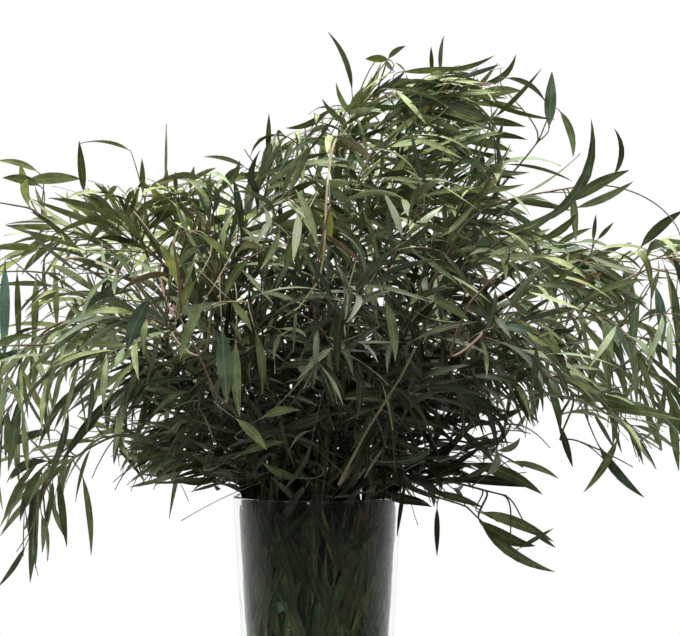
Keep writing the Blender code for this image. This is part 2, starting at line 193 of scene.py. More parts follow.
@dataclass(frozen=True)
class Tone:
    """Mean shares of light, blue, yellow and red in the leaves of a shoot."""

    light: float
    blue: float
    yellow: float
    red: float = 0.02


class Shade(Enum):
    """The leaf tones of the bunch, from its dark middle to its fresh tips. DEEP and SHADED darken leaves as
    painted shade.
    """

    DEEP = Tone(0.10, 0.10, 0.04)
    SHADED = Tone(0.22, 0.10, 0.10, 0.08)
    DULL = Tone(0.36, 0.14, 0.11)
    GREY = Tone(0.56, 0.20, 0.11)
    FRESH = Tone(0.56, 0.10, 0.26, 0.04)
    PALE = Tone(0.80, 0.20, 0.10)
    YELLOW = Tone(0.55, 0.00, 0.60)
    TEAL = Tone(0.45, 0.80, 0.00)
    BROWN = Tone(0.12, 0.00, 0.10, 0.60)


@dataclass(frozen=True)
class StemPlan:
    """A woody stem: where it passes the rim (degrees and metres from the axis) and where it ends."""

    name: str
    rim_angle: float
    rim_radius: float
    end: Point
    sag: float


@dataclass(frozen=True)
class ShootPlan:
    """A leafy shoot: its stem, its place along it, its twig's end and sag, and how it grows and looks."""

    name: str
    stem: str
    share: float
    end: Point
    sag: float
    habit: Habit
    shade: Shade


# Name, angle and radius at the rim, end, sag
STEMS = tuple(StemPlan(*row) for row in (
    ("right_low", -6, 0.062, (0.205, -0.030, 0.415), 0.55),
    ("right_back", 38, 0.060, (0.165, 0.120, 0.445), 0.10),
    ("back_right", 78, 0.060, (0.060, 0.185, 0.440), 0.25),
    ("back_left", 122, 0.060, (-0.095, 0.165, 0.430), 0.20),
    ("left_back", 158, 0.060, (-0.170, 0.070, 0.445), 0.05),
    ("left_low", 196, 0.062, (-0.205, -0.035, 0.405), 0.60),
    ("front_left", 234, 0.061, (-0.110, -0.155, 0.390), 0.35),
    ("front", 274, 0.061, (0.010, -0.185, 0.375), 0.50),
    ("front_right", 316, 0.061, (0.130, -0.140, 0.390), 0.35),
    ("crown_right", 12, 0.029, (0.150, 0.020, 0.500), -0.05),
    ("crown_middle", 84, 0.028, (0.075, 0.060, 0.515), -0.10),
    ("crown_left", 156, 0.029, (0.010, 0.020, 0.500), -0.15),
    ("left_high", 222, 0.030, (-0.115, -0.030, 0.430), 0.05),
    ("right_high", 306, 0.030, (0.120, -0.060, 0.475), 0.05),
))

# Name, stem, share of it, end, sag, habit, shade
SHOOTS = tuple(ShootPlan(*row) for row in (
    # Crown
    ("crown_1", "crown_left", 1.0, (0.032, 0.000, 0.595), -0.2, Habit.STREAMING, Shade.GREY),
    ("crown_2", "crown_left", 0.80, (-0.035, -0.025, 0.520), -0.1, Habit.SPREADING, Shade.GREY),
    ("crown_3", "crown_left", 0.66, (0.050, -0.060, 0.510), 0.1, Habit.HANGING, Shade.GREY),
    ("crown_4", "crown_middle", 1.0, (0.118, 0.045, 0.600), 0.1, Habit.STREAMING, Shade.GREY),
    ("crown_5", "crown_middle", 0.84, (0.080, -0.030, 0.580), 0.0, Habit.STREAMING, Shade.GREY),
    ("crown_6", "crown_middle", 0.70, (0.030, 0.110, 0.535), 0.0, Habit.UPRIGHT, Shade.GREY),
    ("crown_7", "crown_right", 1.0, (0.200, 0.010, 0.570), 0.0, Habit.STREAMING, Shade.GREY),
    ("crown_8", "crown_right", 0.84, (0.160, 0.060, 0.570), 0.5, Habit.STREAMING, Shade.GREY),
    ("crown_9", "crown_right", 0.72, (0.158, -0.055, 0.540), 0.5, Habit.STREAMING, Shade.GREY),
    # Right wing
    ("right_1", "right_high", 1.0, (0.230, -0.070, 0.525), 0.2, Habit.SWEEPING_RIGHT, Shade.GREY),
    ("right_2", "right_high", 0.80, (0.165, -0.140, 0.480), 0.2, Habit.HANGING, Shade.DULL),
    ("right_3", "right_back", 1.0, (0.270, 0.140, 0.465), 0.5, Habit.SWEEPING_RIGHT, Shade.GREY),
    ("right_4", "right_back", 0.78, (0.245, 0.050, 0.455), 0.3, Habit.SWEEPING_RIGHT, Shade.GREY),
    ("right_5", "right_low", 1.0, (0.285, -0.050, 0.370), 1.0, Habit.HANGING, Shade.GREY),
    ("right_6", "right_low", 0.82, (0.270, 0.020, 0.405), 0.6, Habit.HANGING, Shade.GREY),
    ("right_7", "right_low", 0.70, (0.220, -0.110, 0.345), 0.8, Habit.SWEEPING_RIGHT, Shade.DULL),
    ("right_8", "right_low", 0.59, (0.185, 0.000, 0.275), 0.5, Habit.SWEEPING_RIGHT, Shade.GREY),
    ("rim_right", "front_right", 0.55, (0.165, -0.085, 0.255), 0.2, Habit.SWEEPING_RIGHT, Shade.GREY),
    # Left wing
    ("left_1", "left_high", 1.0, (-0.185, -0.060, 0.495), 0.0, Habit.UPRIGHT, Shade.FRESH),
    ("left_2", "left_high", 0.82, (-0.085, -0.110, 0.475), 0.1, Habit.UPRIGHT, Shade.GREY),
    ("left_3", "left_back", 1.0, (-0.255, 0.080, 0.500), 0.4, Habit.SWEEPING_LEFT, Shade.FRESH),
    ("left_4", "left_back", 0.78, (-0.110, 0.060, 0.490), 0.0, Habit.UPRIGHT, Shade.FRESH),
    ("left_5", "left_back", 0.66, (-0.250, 0.020, 0.440), 0.5, Habit.SWEEPING_LEFT, Shade.FRESH),
    ("left_6", "left_low", 1.0, (-0.275, -0.055, 0.345), 1.0, Habit.HANGING, Shade.PALE),
    ("left_7", "left_low", 0.80, (-0.225, -0.115, 0.370), 0.6, Habit.HANGING, Shade.GREY),
    ("left_8", "left_low", 0.62, (-0.245, -0.020, 0.255), 1.2, Habit.HANGING, Shade.PALE),
    ("rim_left", "front_left", 0.56, (-0.140, -0.110, 0.290), 0.5, Habit.SWEEPING_LEFT, Shade.DULL),
    # Front
    ("front_1", "front_left", 1.0, (-0.155, -0.210, 0.410), 0.4, Habit.SWEEPING_LEFT, Shade.GREY),
    ("front_2", "front_left", 0.76, (-0.045, -0.175, 0.440), 0.1, Habit.SPREADING, Shade.DULL),
    ("front_3", "front", 1.0, (0.015, -0.250, 0.385), 0.6, Habit.HANGING, Shade.DULL),
    ("front_4", "front", 0.72, (0.060, -0.180, 0.330), 0.5, Habit.SPREADING, Shade.DEEP),
    ("front_5", "front", 0.60, (-0.060, -0.165, 0.310), 0.5, Habit.SPREADING, Shade.DEEP),
    ("front_6", "front_right", 1.0, (0.185, -0.190, 0.395), 0.5, Habit.SWEEPING_RIGHT, Shade.GREY),
    ("front_7", "front_right", 0.76, (0.085, -0.175, 0.430), 0.1, Habit.SPREADING, Shade.DULL),
    # Low in the bunch, just above the rim
    ("low_1", "crown_left", 0.52, (-0.012, -0.095, 0.365), 0.2, Habit.SPREADING, Shade.DEEP),
    ("low_2", "right_high", 0.52, (0.085, -0.105, 0.340), 0.3, Habit.SPREADING, Shade.DEEP),
    ("low_3", "left_high", 0.54, (-0.150, -0.055, 0.345), 0.4, Habit.SWEEPING_LEFT, Shade.DULL),
    # Back
    ("back_1", "back_right", 1.0, (0.085, 0.250, 0.475), 0.4, Habit.SPREADING, Shade.GREY),
    ("back_2", "back_right", 0.76, (0.150, 0.175, 0.390), 0.4, Habit.SPREADING, Shade.DULL),
    ("back_3", "back_right", 0.60, (0.020, 0.185, 0.340), 0.6, Habit.HANGING, Shade.DULL),
    ("back_4", "back_left", 1.0, (-0.145, 0.220, 0.465), 0.3, Habit.SPREADING, Shade.GREY),
    ("back_5", "back_left", 0.66, (-0.150, 0.140, 0.360), 0.4, Habit.SPREADING, Shade.DULL),
    # Inside the vase
    ("vase_1", "front", 0.07, (0.010, -0.054, 0.155), -0.2, Habit.PACKED, Shade.DULL),
    ("vase_2", "front_left", 0.07, (-0.030, -0.046, 0.150), -0.2, Habit.PACKED, Shade.DULL),
    ("vase_3", "front_right", 0.08, (0.048, -0.034, 0.150), -0.2, Habit.PACKED, Shade.DULL),
))


def unit(way: np.ndarray) -> np.ndarray:
    """A direction, or rows of directions, at length one."""
    return way / np.maximum(np.linalg.norm(way, axis=-1, keepdims=True), 1e-12)


def squared(side: np.ndarray, ahead: np.ndarray) -> np.ndarray:
    """The side direction made square to the way ahead."""
    return unit(side - ahead * np.sum(side * ahead, axis=-1, keepdims=True))


def any_side(ahead: np.ndarray) -> np.ndarray:
    """Some direction square to the way ahead."""
    return squared(np.array((1.0, 0.0, 0.0)) if abs(ahead[0]) < 0.7 else np.array((0.0, 1.0, 0.0)), ahead)


def turned(way: np.ndarray, axis: np.ndarray, angle: float) -> np.ndarray:
    """A direction turned about an axis that is square to it."""
    return way * math.cos(angle) + np.cross(axis, way) * math.sin(angle)


def outer_radius(height: np.ndarray | float) -> np.ndarray | float:
    """The vase's outer radius at a height."""
    return VASE_FOOT_RADIUS + (VASE_RIM_RADIUS - VASE_FOOT_RADIUS) * height / VASE_HEIGHT


def on_circle(radius: float, angle: float, height: float) -> np.ndarray:
    """A point at an angle round the vase's axis."""
    return np.array((radius * math.cos(angle), radius * math.sin(angle), height))


class Line:
    """A smooth middle line as a fine row of points."""

    def __init__(self, points: np.ndarray) -> None:
        """Keeps the points and works out the length up to each one.

        Args:
            points: One row of three metres for each point.
        """
        self.points = points
        steps = np.linalg.norm(np.diff(points, axis=0), axis=1)
        self.lengths = np.concatenate(([0.0], np.cumsum(steps)))
        self.total = float(self.lengths[-1])

    @classmethod
    def arch(
        cls, start: np.ndarray, pull: np.ndarray, push: np.ndarray, end: np.ndarray, steps: int
    ) -> "Line":
        """A cubic arch.

        Args:
            start: Its first point.
            pull: The control point that it leaves towards.
            push: The control point that it arrives from.
            end: Its last point.
            steps: How many lengths it is drawn with.

        Returns:
            The line.
        """
        share = np.linspace(0, 1, steps + 1)[:, None]
        rest = 1 - share
        shape = start * rest**3 + pull * (3 * share * rest**2) + push * (3 * share**2 * rest) + end * share**3
        return cls(shape)

    @classmethod
    def grown(
        cls, root: np.ndarray, leaving: np.ndarray, bend: np.ndarray, length: float, steps: int
    ) -> "Line":
        """A line that leaves one way and turns steadily towards another.

        Args:
            root: Its first point.
            leaving: The way it leaves.
            bend: What is added to that way by its end.
            length: Its length.
            steps: How many lengths it is drawn with.

        Returns:
            The line.
        """
        share = (np.arange(steps) + 0.5)[:, None] / steps
        ways = unit(leaving + bend * share)
        return cls(np.vstack((root, root + np.cumsum(ways, axis=0) * length / steps)))

    @classmethod
    def bowed(cls, start: np.ndarray, end: np.ndarray, aside: np.ndarray, steps: int) -> "Line":
        """A line between two points whose middle is pulled aside."""
        pull, push = start * 0.67 + end * 0.33 + aside, start * 0.33 + end * 0.67 + aside
        return cls.arch(start, pull, push, end, steps)

    def at(self, share: np.ndarray | float) -> np.ndarray:
        """The points at these shares of the length."""
        where = np.atleast_1d(share) * self.total
        return np.stack([np.interp(where, self.lengths, self.points[:, axis]) for axis in range(3)], axis=1)

    def ahead(self, share: np.ndarray | float) -> np.ndarray:
        """The line's directions.

        Args:
            share: The shares of its length to give them at.

        Returns:
            One row, at length one, for each share.
        """
        share = np.atleast_1d(share)
        reach = 0.02
        return unit(self.at(np.minimum(share + reach, 1)) - self.at(np.maximum(share - reach, 0)))


def stem_line(plan: StemPlan) -> Line:
    """A stem's middle line: straight up through the vase, then out in one arch.

    Args:
        plan: The stem.

    Returns:
        The line, from the stem's foot to its end.
    """
    angle = math.radians(plan.rim_angle)
    rim = on_circle(plan.rim_radius, angle, VASE_HEIGHT)
    foot = on_circle(plan.rim_radius * FOOT_SHARE_OF_RIM, angle - STEM_SWIRL, VASE_FLOOR + GAP)
    end = np.array(plan.end)
    reach = float(np.linalg.norm(end - rim))
    arriving = unit(unit(end - rim) - UP * plan.sag)
    pull = rim + unit(rim - foot) * reach * STEM_PULL_AT_RIM
    push = end - arriving * reach * STEM_PULL_AT_END
    arch = Line.arch(rim, pull, push, end, STEM_STEPS)
    straight = foot + (rim - foot) * np.linspace(0, 1, STEM_FOOT_STEPS, endpoint=False)[:, None]
    return Line(np.vstack((straight, arch.points)))


def stem_radius(share: np.ndarray | float) -> np.ndarray | float:
    """A stem's radius at a share of its length."""
    return STEM_FOOT_RADIUS + (STEM_END_RADIUS - STEM_FOOT_RADIUS) * share


def twig_line(plan: ShootPlan, stem: Line) -> Line:
    """A shoot's twig: out of its stem at an angle, then over to its end in one arch.

    Args:
        plan: The shoot.
        stem: The middle line of the stem that carries it.

    Returns:
        The twig's line, which starts inside the stem's wood.
    """
    point = stem.at(plan.share)[0]
    along = stem.ahead(plan.share)[0]
    end = np.array(plan.end)
    out = along if plan.share == 1 else squared(end - point, along)
    start = point if plan.share == 1 else point + out * stem_radius(plan.share)
    reach = float(np.linalg.norm(end - start))
    leaving = along if plan.share == 1 else out * math.sin(SHOOT_ANGLE) + along * math.cos(SHOOT_ANGLE)
    arriving = unit(unit(end - start) - UP * plan.sag)
    collar = start + out * TWIG_COLLAR
    pull = collar + leaving * reach * TWIG_PULL_AT_FOOT
    push = end - arriving * reach * TWIG_PULL_AT_END
    arch = Line.arch(collar, pull, push, end, TWIG_STEPS)
    return Line(np.vstack((point, arch.points)))


class Workshop:
    """Blender's own tools, as used by hand: add, select, shape, apply."""

    @staticmethod
    def clear_selection() -> None:
        """Leaves edit mode and deselects everything, the CAD pieces too."""
        if bpy.context.object is not None and bpy.context.object.mode != "OBJECT":
            bpy.ops.object.mode_set(mode="OBJECT")
        bpy.ops.object.select_all(action="DESELECT")

    @staticmethod
    def start(name: str, primitive: Callable[..., set[str]], **sizes: object) -> bpy.types.Object:
        """Adds a primitive and opens it in edit mode, selected all over.

        Args:
            name: The new object's name.
            primitive: The operator that adds it.
            sizes: The operator's own settings.

        Returns:
            The new object.
        """
        Workshop.clear_selection()
        primitive(**sizes)
        obj = bpy.context.object
        obj.name = name
        bpy.ops.object.transform_apply(location=True, rotation=True, scale=True)
        bpy.ops.object.mode_set(mode="EDIT")
        bpy.ops.mesh.select_mode(type="FACE")
        return obj

    @staticmethod
    def choose(obj: bpy.types.Object, kind: str, test: Callable[[Vector, Vector], bool]) -> None:
        """Selects the faces, edges or vertices of a mesh that pass a test of their place and direction.

        Args:
            obj: The object in edit mode.
            kind: FACE, EDGE or VERT.
            test: Takes a middle point and a normal, or an edge's own direction.
        """
        bpy.ops.mesh.select_mode(type=kind)
        bpy.ops.mesh.select_all(action="DESELECT")
        bpy.ops.object.mode_set(mode="OBJECT")
        mesh = obj.data
        if kind == "FACE":
            for face in mesh.polygons:
                face.select = test(face.center, face.normal)
        elif kind == "EDGE":
            for edge in mesh.edges:
                first, second = (mesh.vertices[index].co for index in edge.vertices)
                edge.select = test((first + second) / 2, (second - first).normalized())
        else:
            for vert in mesh.vertices:
                vert.select = test(vert.co, vert.normal)
        bpy.ops.object.mode_set(mode="EDIT")

    @staticmethod
    def extrude(by: Point) -> None:
        """Extrudes what is selected and moves it."""
        bpy.ops.mesh.extrude_region_move(TRANSFORM_OT_translate={"value": by})

    @staticmethod
    def scale(by: Point, about: Point) -> None:
        """Resizes what is selected about a point."""
        bpy.ops.transform.resize(value=by, center_override=about)

    @staticmethod
    def settle(obj: bpy.types.Object, smooth_degrees: float, material: bpy.types.Material) -> None:
        """Closes edit mode, puts the object's place into its mesh, shades it smooth and dresses it.

        Args:
            obj: The object in edit mode.
            smooth_degrees: The angle up to which it is shaded smooth.
            material: Its material.
        """
        bpy.ops.mesh.select_all(action="SELECT")
        bpy.ops.mesh.normals_make_consistent(inside=False)
        bpy.ops.object.mode_set(mode="OBJECT")
        bpy.ops.object.transform_apply(location=True, rotation=True, scale=True)
        bpy.ops.object.shade_smooth_by_angle(angle=math.radians(smooth_degrees))
        obj.select_set(False)
        obj.data.materials.append(material)


class Tree:
    """A node tree, with short ways to add nodes and join them."""

    def __init__(self, tree: bpy.types.NodeTree) -> None:
        """Keeps the tree."""
        self.tree = tree

    def add(self, kind: str, **values: object) -> bpy.types.Node:
        """Adds a node.

        Args:
            kind: Its type.
            values: Its properties.

        Returns:
            The node.
        """
        node = self.tree.nodes.new(kind)
        for name, value in values.items():
            setattr(node, name, value)
        return node

    def join(self, source: object, target: bpy.types.NodeSocket) -> None:
        """Feeds a socket from another, or sets it.

        Args:
            source: The other socket, or a number, a colour or a row of numbers.
            target: The socket.
        """
        if isinstance(source, bpy.types.NodeSocket):
            self.tree.links.new(source, target)
        elif isinstance(source, tuple):
            target.default_value = (*source, 1.0) if len(source) < len(target.default_value) else source
        else:
            target.default_value = source

    def feed(self, node: bpy.types.Node, sources: dict[str | int, object]) -> bpy.types.Node:
        """Feeds a node's sockets.

        Args:
            node: The node.
            sources: What each socket is fed from, by its name or number.

        Returns:
            The node.
        """
        for socket, source in sources.items():
            self.join(source, node.inputs[socket])
        return node

    def maths(self, operation: str, *numbers: object, clamp: bool = False) -> bpy.types.NodeSocket:
        """A sum, product or other result of numbers."""
        node = self.add("ShaderNodeMath", operation=operation, use_clamp=clamp)
        return self.feed(node, dict(enumerate(numbers))).outputs[0]

    def ramp(
        self, value: object, low: float, high: float, start: float = 0.0, stop: float = 1.0
    ) -> bpy.types.NodeSocket:
        """A number that eases from start to stop as the value goes from low to high."""
        node = self.add("ShaderNodeMapRange", interpolation_type="SMOOTHSTEP")
        return self.feed(node, dict(enumerate((value, low, high, start, stop)))).outputs[0]


class Nodes(Tree):
    """A new material's node tree."""

    def __init__(self, name: str) -> None:
        """Starts a material with its Principled shader.

        Args:
            name: The material's name.
        """
        self.material = bpy.data.materials.new(name)
        self.material.use_nodes = True
        super().__init__(self.material.node_tree)
        self.shader = self.tree.nodes["Principled BSDF"]

    def finish(self, sources: dict[str, object]) -> bpy.types.Material:
        """Feeds the shader's sockets and hands over the material."""
        self.feed(self.shader, sources)
        return self.material

    def blend(self, share: object, first: object, second: object, mode: str = "MIX") -> bpy.types.NodeSocket:
        """A mix of two colours."""
        node = self.add("ShaderNodeMix", data_type="RGBA", blend_type=mode)
        return self.feed(node, {0: share, 6: first, 7: second}).outputs[2]

    def noise(self, where: object, scale: float, detail: float, roughness: float) -> bpy.types.NodeSocket:
        """Soft noise between 0 and 1."""
        sources = {"Vector": where, "Scale": scale, "Detail": detail, "Roughness": roughness}
        return self.feed(self.add("ShaderNodeTexNoise"), sources).outputs[0]

    def stretched(self, where: object, by: Point) -> bpy.types.NodeSocket:
        """Coordinates scaled by three factors."""
        return self.feed(self.add("ShaderNodeMapping"), {"Vector": where, "Scale": by}).outputs[0]

    def object_place(self) -> bpy.types.NodeSocket:
        """The piece's own coordinates."""
        return self.add("ShaderNodeTexCoord").outputs["Object"]

    def map_place(self) -> tuple[bpy.types.NodeSocket, bpy.types.NodeSocket, bpy.types.NodeSocket]:
        """The piece's own map.

        Returns:
            The map, and its shares across and along.
        """
        where = self.add("ShaderNodeUVMap", uv_map=LEAF_MAP).outputs[0]
        parts = self.feed(self.add("ShaderNodeSeparateXYZ"), {0: where})
        return where, parts.outputs[0], parts.outputs[1]

    def tint(self) -> tuple[bpy.types.NodeSocket, ...]:
        """The tint painted on the piece.

        Returns:
            Its four shares.
        """
        paint = self.add("ShaderNodeAttribute", attribute_name=TINT)
        parts = self.feed(self.add("ShaderNodeSeparateColor"), {0: paint.outputs["Color"]})
        return parts.outputs[0], parts.outputs[1], parts.outputs[2], paint.outputs["Alpha"]

    def bump(self, height: object, depth: float, strength: float) -> bpy.types.NodeSocket:
        """Presses a height pattern into the surface, at most this deep."""
        sources = {"Strength": strength, "Distance": depth, "Height": height}
        return self.feed(self.add("ShaderNodeBump"), sources).outputs[0]


@dataclass(frozen=True)
class LeafFinish:
    """Dull leathery leaf skin with a pale midrib, faint side veins, blotches and a paler underside."""

    name: str = "leaf_skin"
    dark: Colour = (0.015, 0.021, 0.007)
    light: Colour = (0.245, 0.290, 0.105)
    blue: Colour = (0.125, 0.220, 0.170)
    yellow: Colour = (0.300, 0.350, 0.070)
    red: Colour = (0.190, 0.065, 0.035)
    rib: Colour = (0.260, 0.290, 0.130)
    underside: Colour = (1.45, 1.35, 1.75)
    roughness: Range = (0.40, 0.60)
    shine: float = 0.20
    blotch_scale: float = 70.0
    grain_scale: float = 900.0
    vein_stretch: Point = (1.6, 9.0, 1.0)
    vein_scale: float = 1.3
    vein_wander: float = 1.2
    relief: float = 0.0002

    def build(self) -> bpy.types.Material:
        """Builds the material.

        Returns:
            The leaf skin, which reads the leaf map and the tint on each piece.
        """
        nodes = Nodes(self.name)
        light, blue, yellow, red = nodes.tint()
        where, across, along = nodes.map_place()
        below = nodes.maths("GREATER_THAN", across, 1.0)
        across = nodes.maths("FRACT", across)
        from_rib = nodes.maths("ABSOLUTE", nodes.maths("SUBTRACT", across, 0.5))
        place = nodes.object_place()
        blotches = nodes.noise(place, self.blotch_scale, 3.0, 0.6)
        grain = nodes.noise(place, self.grain_scale, 2.0, 0.6)
        # The light share mixes the dark and light leaf colours. It holds each leaf's own tone and its painted
        # shade
        colour = nodes.blend(light, self.dark, self.light)
        colour = nodes.blend(blue, colour, self.blue)
        colour = nodes.blend(yellow, colour, self.yellow)
        reddened = nodes.maths("ADD", red, nodes.ramp(along, 0.93, 1.0, 0.0, 0.45), clamp=True)
        colour = nodes.blend(reddened, colour, self.red)
        colour = nodes.blend(below, colour, nodes.blend(1.0, colour, self.underside, "MULTIPLY"))
        spotted = nodes.ramp(blotches, 0.30, 0.72, 0.62, 1.30)
        speckled = nodes.ramp(grain, 0.25, 0.75, 0.88, 1.10)
        veins = nodes.add("ShaderNodeTexWave", bands_direction="DIAGONAL")
        along_map = nodes.stretched(where, self.vein_stretch)
        nodes.feed(veins, {"Vector": along_map, "Scale": self.vein_scale, "Distortion": self.vein_wander})
        veined = nodes.ramp(veins.outputs[1], 0.70, 1.0, 1.0, 1.10)
        for factor in (spotted, speckled, veined):
            grey = nodes.feed(nodes.add("ShaderNodeCombineColor"), {0: factor, 1: factor, 2: factor})
            colour = nodes.blend(1.0, colour, grey.outputs[0], "MULTIPLY")
        paler = nodes.maths("ADD", light, 0.18, clamp=True)
        ribbed = nodes.ramp(from_rib, 0.085, 0.020)
        colour = nodes.blend(nodes.maths("MULTIPLY", ribbed, paler), colour, self.rib)
        margin = nodes.maths("MULTIPLY", nodes.ramp(from_rib, 0.44, 0.50, 0.0, 0.5), paler)
        colour = nodes.blend(margin, colour, self.rib)
        rough = nodes.ramp(blotches, 0.3, 0.7, *self.roughness)
        sunk = nodes.maths("MULTIPLY", ribbed, -1.0)
        height = nodes.maths("ADD", sunk, nodes.maths("MULTIPLY", veined, 0.9))
        height = nodes.maths("ADD", height, nodes.maths("MULTIPLY", grain, 0.25))
        normal = nodes.bump(height, self.relief, 0.7)
        return nodes.finish(
            {"Base Color": colour, "Roughness": rough, "Specular IOR Level": self.shine, "Normal": normal}
        )


@dataclass(frozen=True)
class BarkFinish:
    """Bark that runs from smooth reddish young wood to grey-brown, lengthwise cracked old wood, with painted
    shade deep in the bunch.
    """

    name: str = "twig_bark"
    young: Colour = (0.170, 0.150, 0.060)
    red: Colour = (0.170, 0.080, 0.045)
    old: Colour = (0.095, 0.070, 0.045)
    crack: Colour = (0.030, 0.022, 0.016)
    patch: Colour = (0.24, 0.20, 0.15)
    pore: Colour = (0.30, 0.25, 0.19)
    roughness: Range = (0.55, 0.85)
    crack_stretch: Point = (9.0, 90.0, 1.0)
    patch_scale: float = 45.0
    pore_scale: float = 700.0
    relief: float = 0.0004

    def build(self) -> bpy.types.Material:
        """Builds the material.

        Returns:
            The bark, which reads the tint on each piece: red is age, green is redness, blue is painted shade.
        """
        nodes = Nodes(self.name)
        age, red, dark, _ = nodes.tint()
        where, _, _ = nodes.map_place()
        place = nodes.object_place()
        cracks = nodes.noise(nodes.stretched(where, self.crack_stretch), 1.0, 4.0, 0.65)
        patches = nodes.noise(place, self.patch_scale, 3.0, 0.55)
        pores = nodes.noise(place, self.pore_scale, 2.0, 0.6)
        colour = nodes.blend(age, self.young, self.old)
        colour = nodes.blend(red, colour, self.red)
        colour = nodes.blend(nodes.ramp(patches, 0.45, 0.70, 0.0, 0.55), colour, self.patch)
        aged = nodes.ramp(age, 0.2, 0.9, 0.15, 0.8)
        cracked = nodes.maths("MULTIPLY", nodes.ramp(cracks, 0.42, 0.30), aged)
        colour = nodes.blend(cracked, colour, self.crack)
        colour = nodes.blend(nodes.ramp(pores, 0.62, 0.75, 0.0, 0.5), colour, self.pore)
        # Painted shade: wood deep in the bunch is darkened towards the crack colour
        colour = nodes.blend(nodes.maths("MULTIPLY", dark, 0.88), colour, self.crack)
        rough = nodes.ramp(patches, 0.3, 0.7, *self.roughness)
        height = nodes.maths("SUBTRACT", nodes.maths("MULTIPLY", pores, 0.4), cracked)
        return nodes.finish(
            {"Base Color": colour, "Roughness": rough, "Normal": nodes.bump(height, self.relief, 0.8)}
        )


@dataclass(frozen=True)
class GlassFinish:
    """Clear pressed glass with the faintest green and slightly uneven walls."""

    name: str = "vase_glass"
    colour: Colour = (0.955, 0.985, 0.970)
    index: float = 1.30
    roughness: Range = (0.0, 0.03)
    smear_scale: float = 14.0
    wave_scale: float = 22.0
    wave_stretch: Point = (1.0, 1.0, 0.35)
    relief: float = 0.0002

    def build(self) -> bpy.types.Material:
        """Builds the material.

        Returns:
            The glass.
        """
        nodes = Nodes(self.name)
        place = nodes.object_place()
        smears = nodes.noise(place, self.smear_scale, 4.0, 0.6)
        waves = nodes.noise(nodes.stretched(place, self.wave_stretch), self.wave_scale, 1.0, 0.4)
        return nodes.finish({
            "Base Color": self.colour,
            "Transmission Weight": 1.0,
            "IOR": self.index,
            "Roughness": nodes.ramp(smears, 0.55, 0.80, *self.roughness),
            "Normal": nodes.bump(waves, self.relief, 0.20),
        })


@dataclass(frozen=True)
class FloorFinish:
    """A plain pale matt table."""

    name: str = "pale_floor"
    colour: Colour = (0.62, 0.62, 0.61)
    cloudy: float = 0.97
    roughness: float = 0.9

    def build(self) -> bpy.types.Material:
        """Builds the material.

        Returns:
            The floor's paint, faintly uneven.
        """
        nodes = Nodes(self.name)
        cloud = nodes.noise(nodes.object_place(), 3.0, 3.0, 0.5)
        darker = tuple(self.cloudy * part for part in self.colour)
        colour = nodes.blend(nodes.ramp(cloud, 0.3, 0.7), self.colour, darker)
        return nodes.finish({"Base Color": colour, "Roughness": self.roughness})


@dataclass
class Pattern:
    """A shape modelled once along +Y, one long, to be copied and bent along lines."""

    source: bpy.types.Object
    flat: np.ndarray = field(init=False)
    stations: np.ndarray = field(init=False)
    station_of: np.ndarray = field(init=False)

    def __post_init__(self) -> None:
        """Reads the shape's points and the stations along it that hold them."""
        mesh = self.source.data
        flat = np.empty(len(mesh.vertices) * 3)
        mesh.vertices.foreach_get("co", flat)
        self.flat = flat.reshape(-1, 3)
        self.stations, self.station_of = np.unique(np.round(self.flat[:, 1], 5), return_inverse=True)
        mesh.attributes.new(TINT, "FLOAT_COLOR", "POINT")

    def copy_to(self, places: np.ndarray, tints: np.ndarray) -> bpy.types.Object:
        """A copy with its own mesh.

        Args:
            places: A point for each of the shape's vertices.
            tints: Four shares for all vertices, or for each.

        Returns:
            The copy, linked to the scene.
        """
        copy = self.source.copy()
        copy.data = self.source.data.copy()
        copy.data.vertices.foreach_set("co", places.astype(np.float32).ravel())
        paint = np.broadcast_to(tints, (len(places), 4)).astype(np.float32)
        copy.data.attributes[TINT].data.foreach_set("color", paint.ravel())
        bpy.context.scene.collection.objects.link(copy)
        return copy

    def bent(self, line: Line, side: np.ndarray, twist: float, girth: np.ndarray) -> np.ndarray:
        """Where the shape's points lie along a line.

        Args:
            line: The middle line, from the shape's start to its end.
            side: The way its width lies at the start.
            twist: How far the width turns by its end.
            girth: Width and thickness of the shape at each station, as a factor.

        Returns:
            One row of three metres for each vertex.
        """
        middle = line.at(self.stations)
        ahead = line.ahead(self.stations)
        wide = squared(np.broadcast_to(side, ahead.shape), ahead)
        turns = (self.stations * twist)[:, None]
        wide = wide * np.cos(turns) + np.cross(wide, ahead) * np.sin(turns)
        thick = np.cross(wide, ahead)
        at = self.station_of
        sideways = wide[at] * (self.flat[:, 0] * girth[at])[:, None]
        upwards = thick[at] * (self.flat[:, 2] * girth[at])[:, None]
        return middle[at] + sideways + upwards


def map_from_shape(obj: bpy.types.Object, across: Callable[[Vector, Vector], float]) -> None:
    """Gives a shape along +Y its own map: across by a rule, along by length.

    Args:
        obj: The shape, one long.
        across: Takes a corner's place and its face's normal.
    """
    mesh = obj.data
    while mesh.uv_layers:
        mesh.uv_layers.remove(mesh.uv_layers[0])
    layer = mesh.uv_layers.new(name=LEAF_MAP)
    for face in mesh.polygons:
        for index in face.loop_indices:
            place = mesh.vertices[mesh.loops[index].vertex_index].co
            layer.data[index].uv = (across(place, face.normal), place.y)


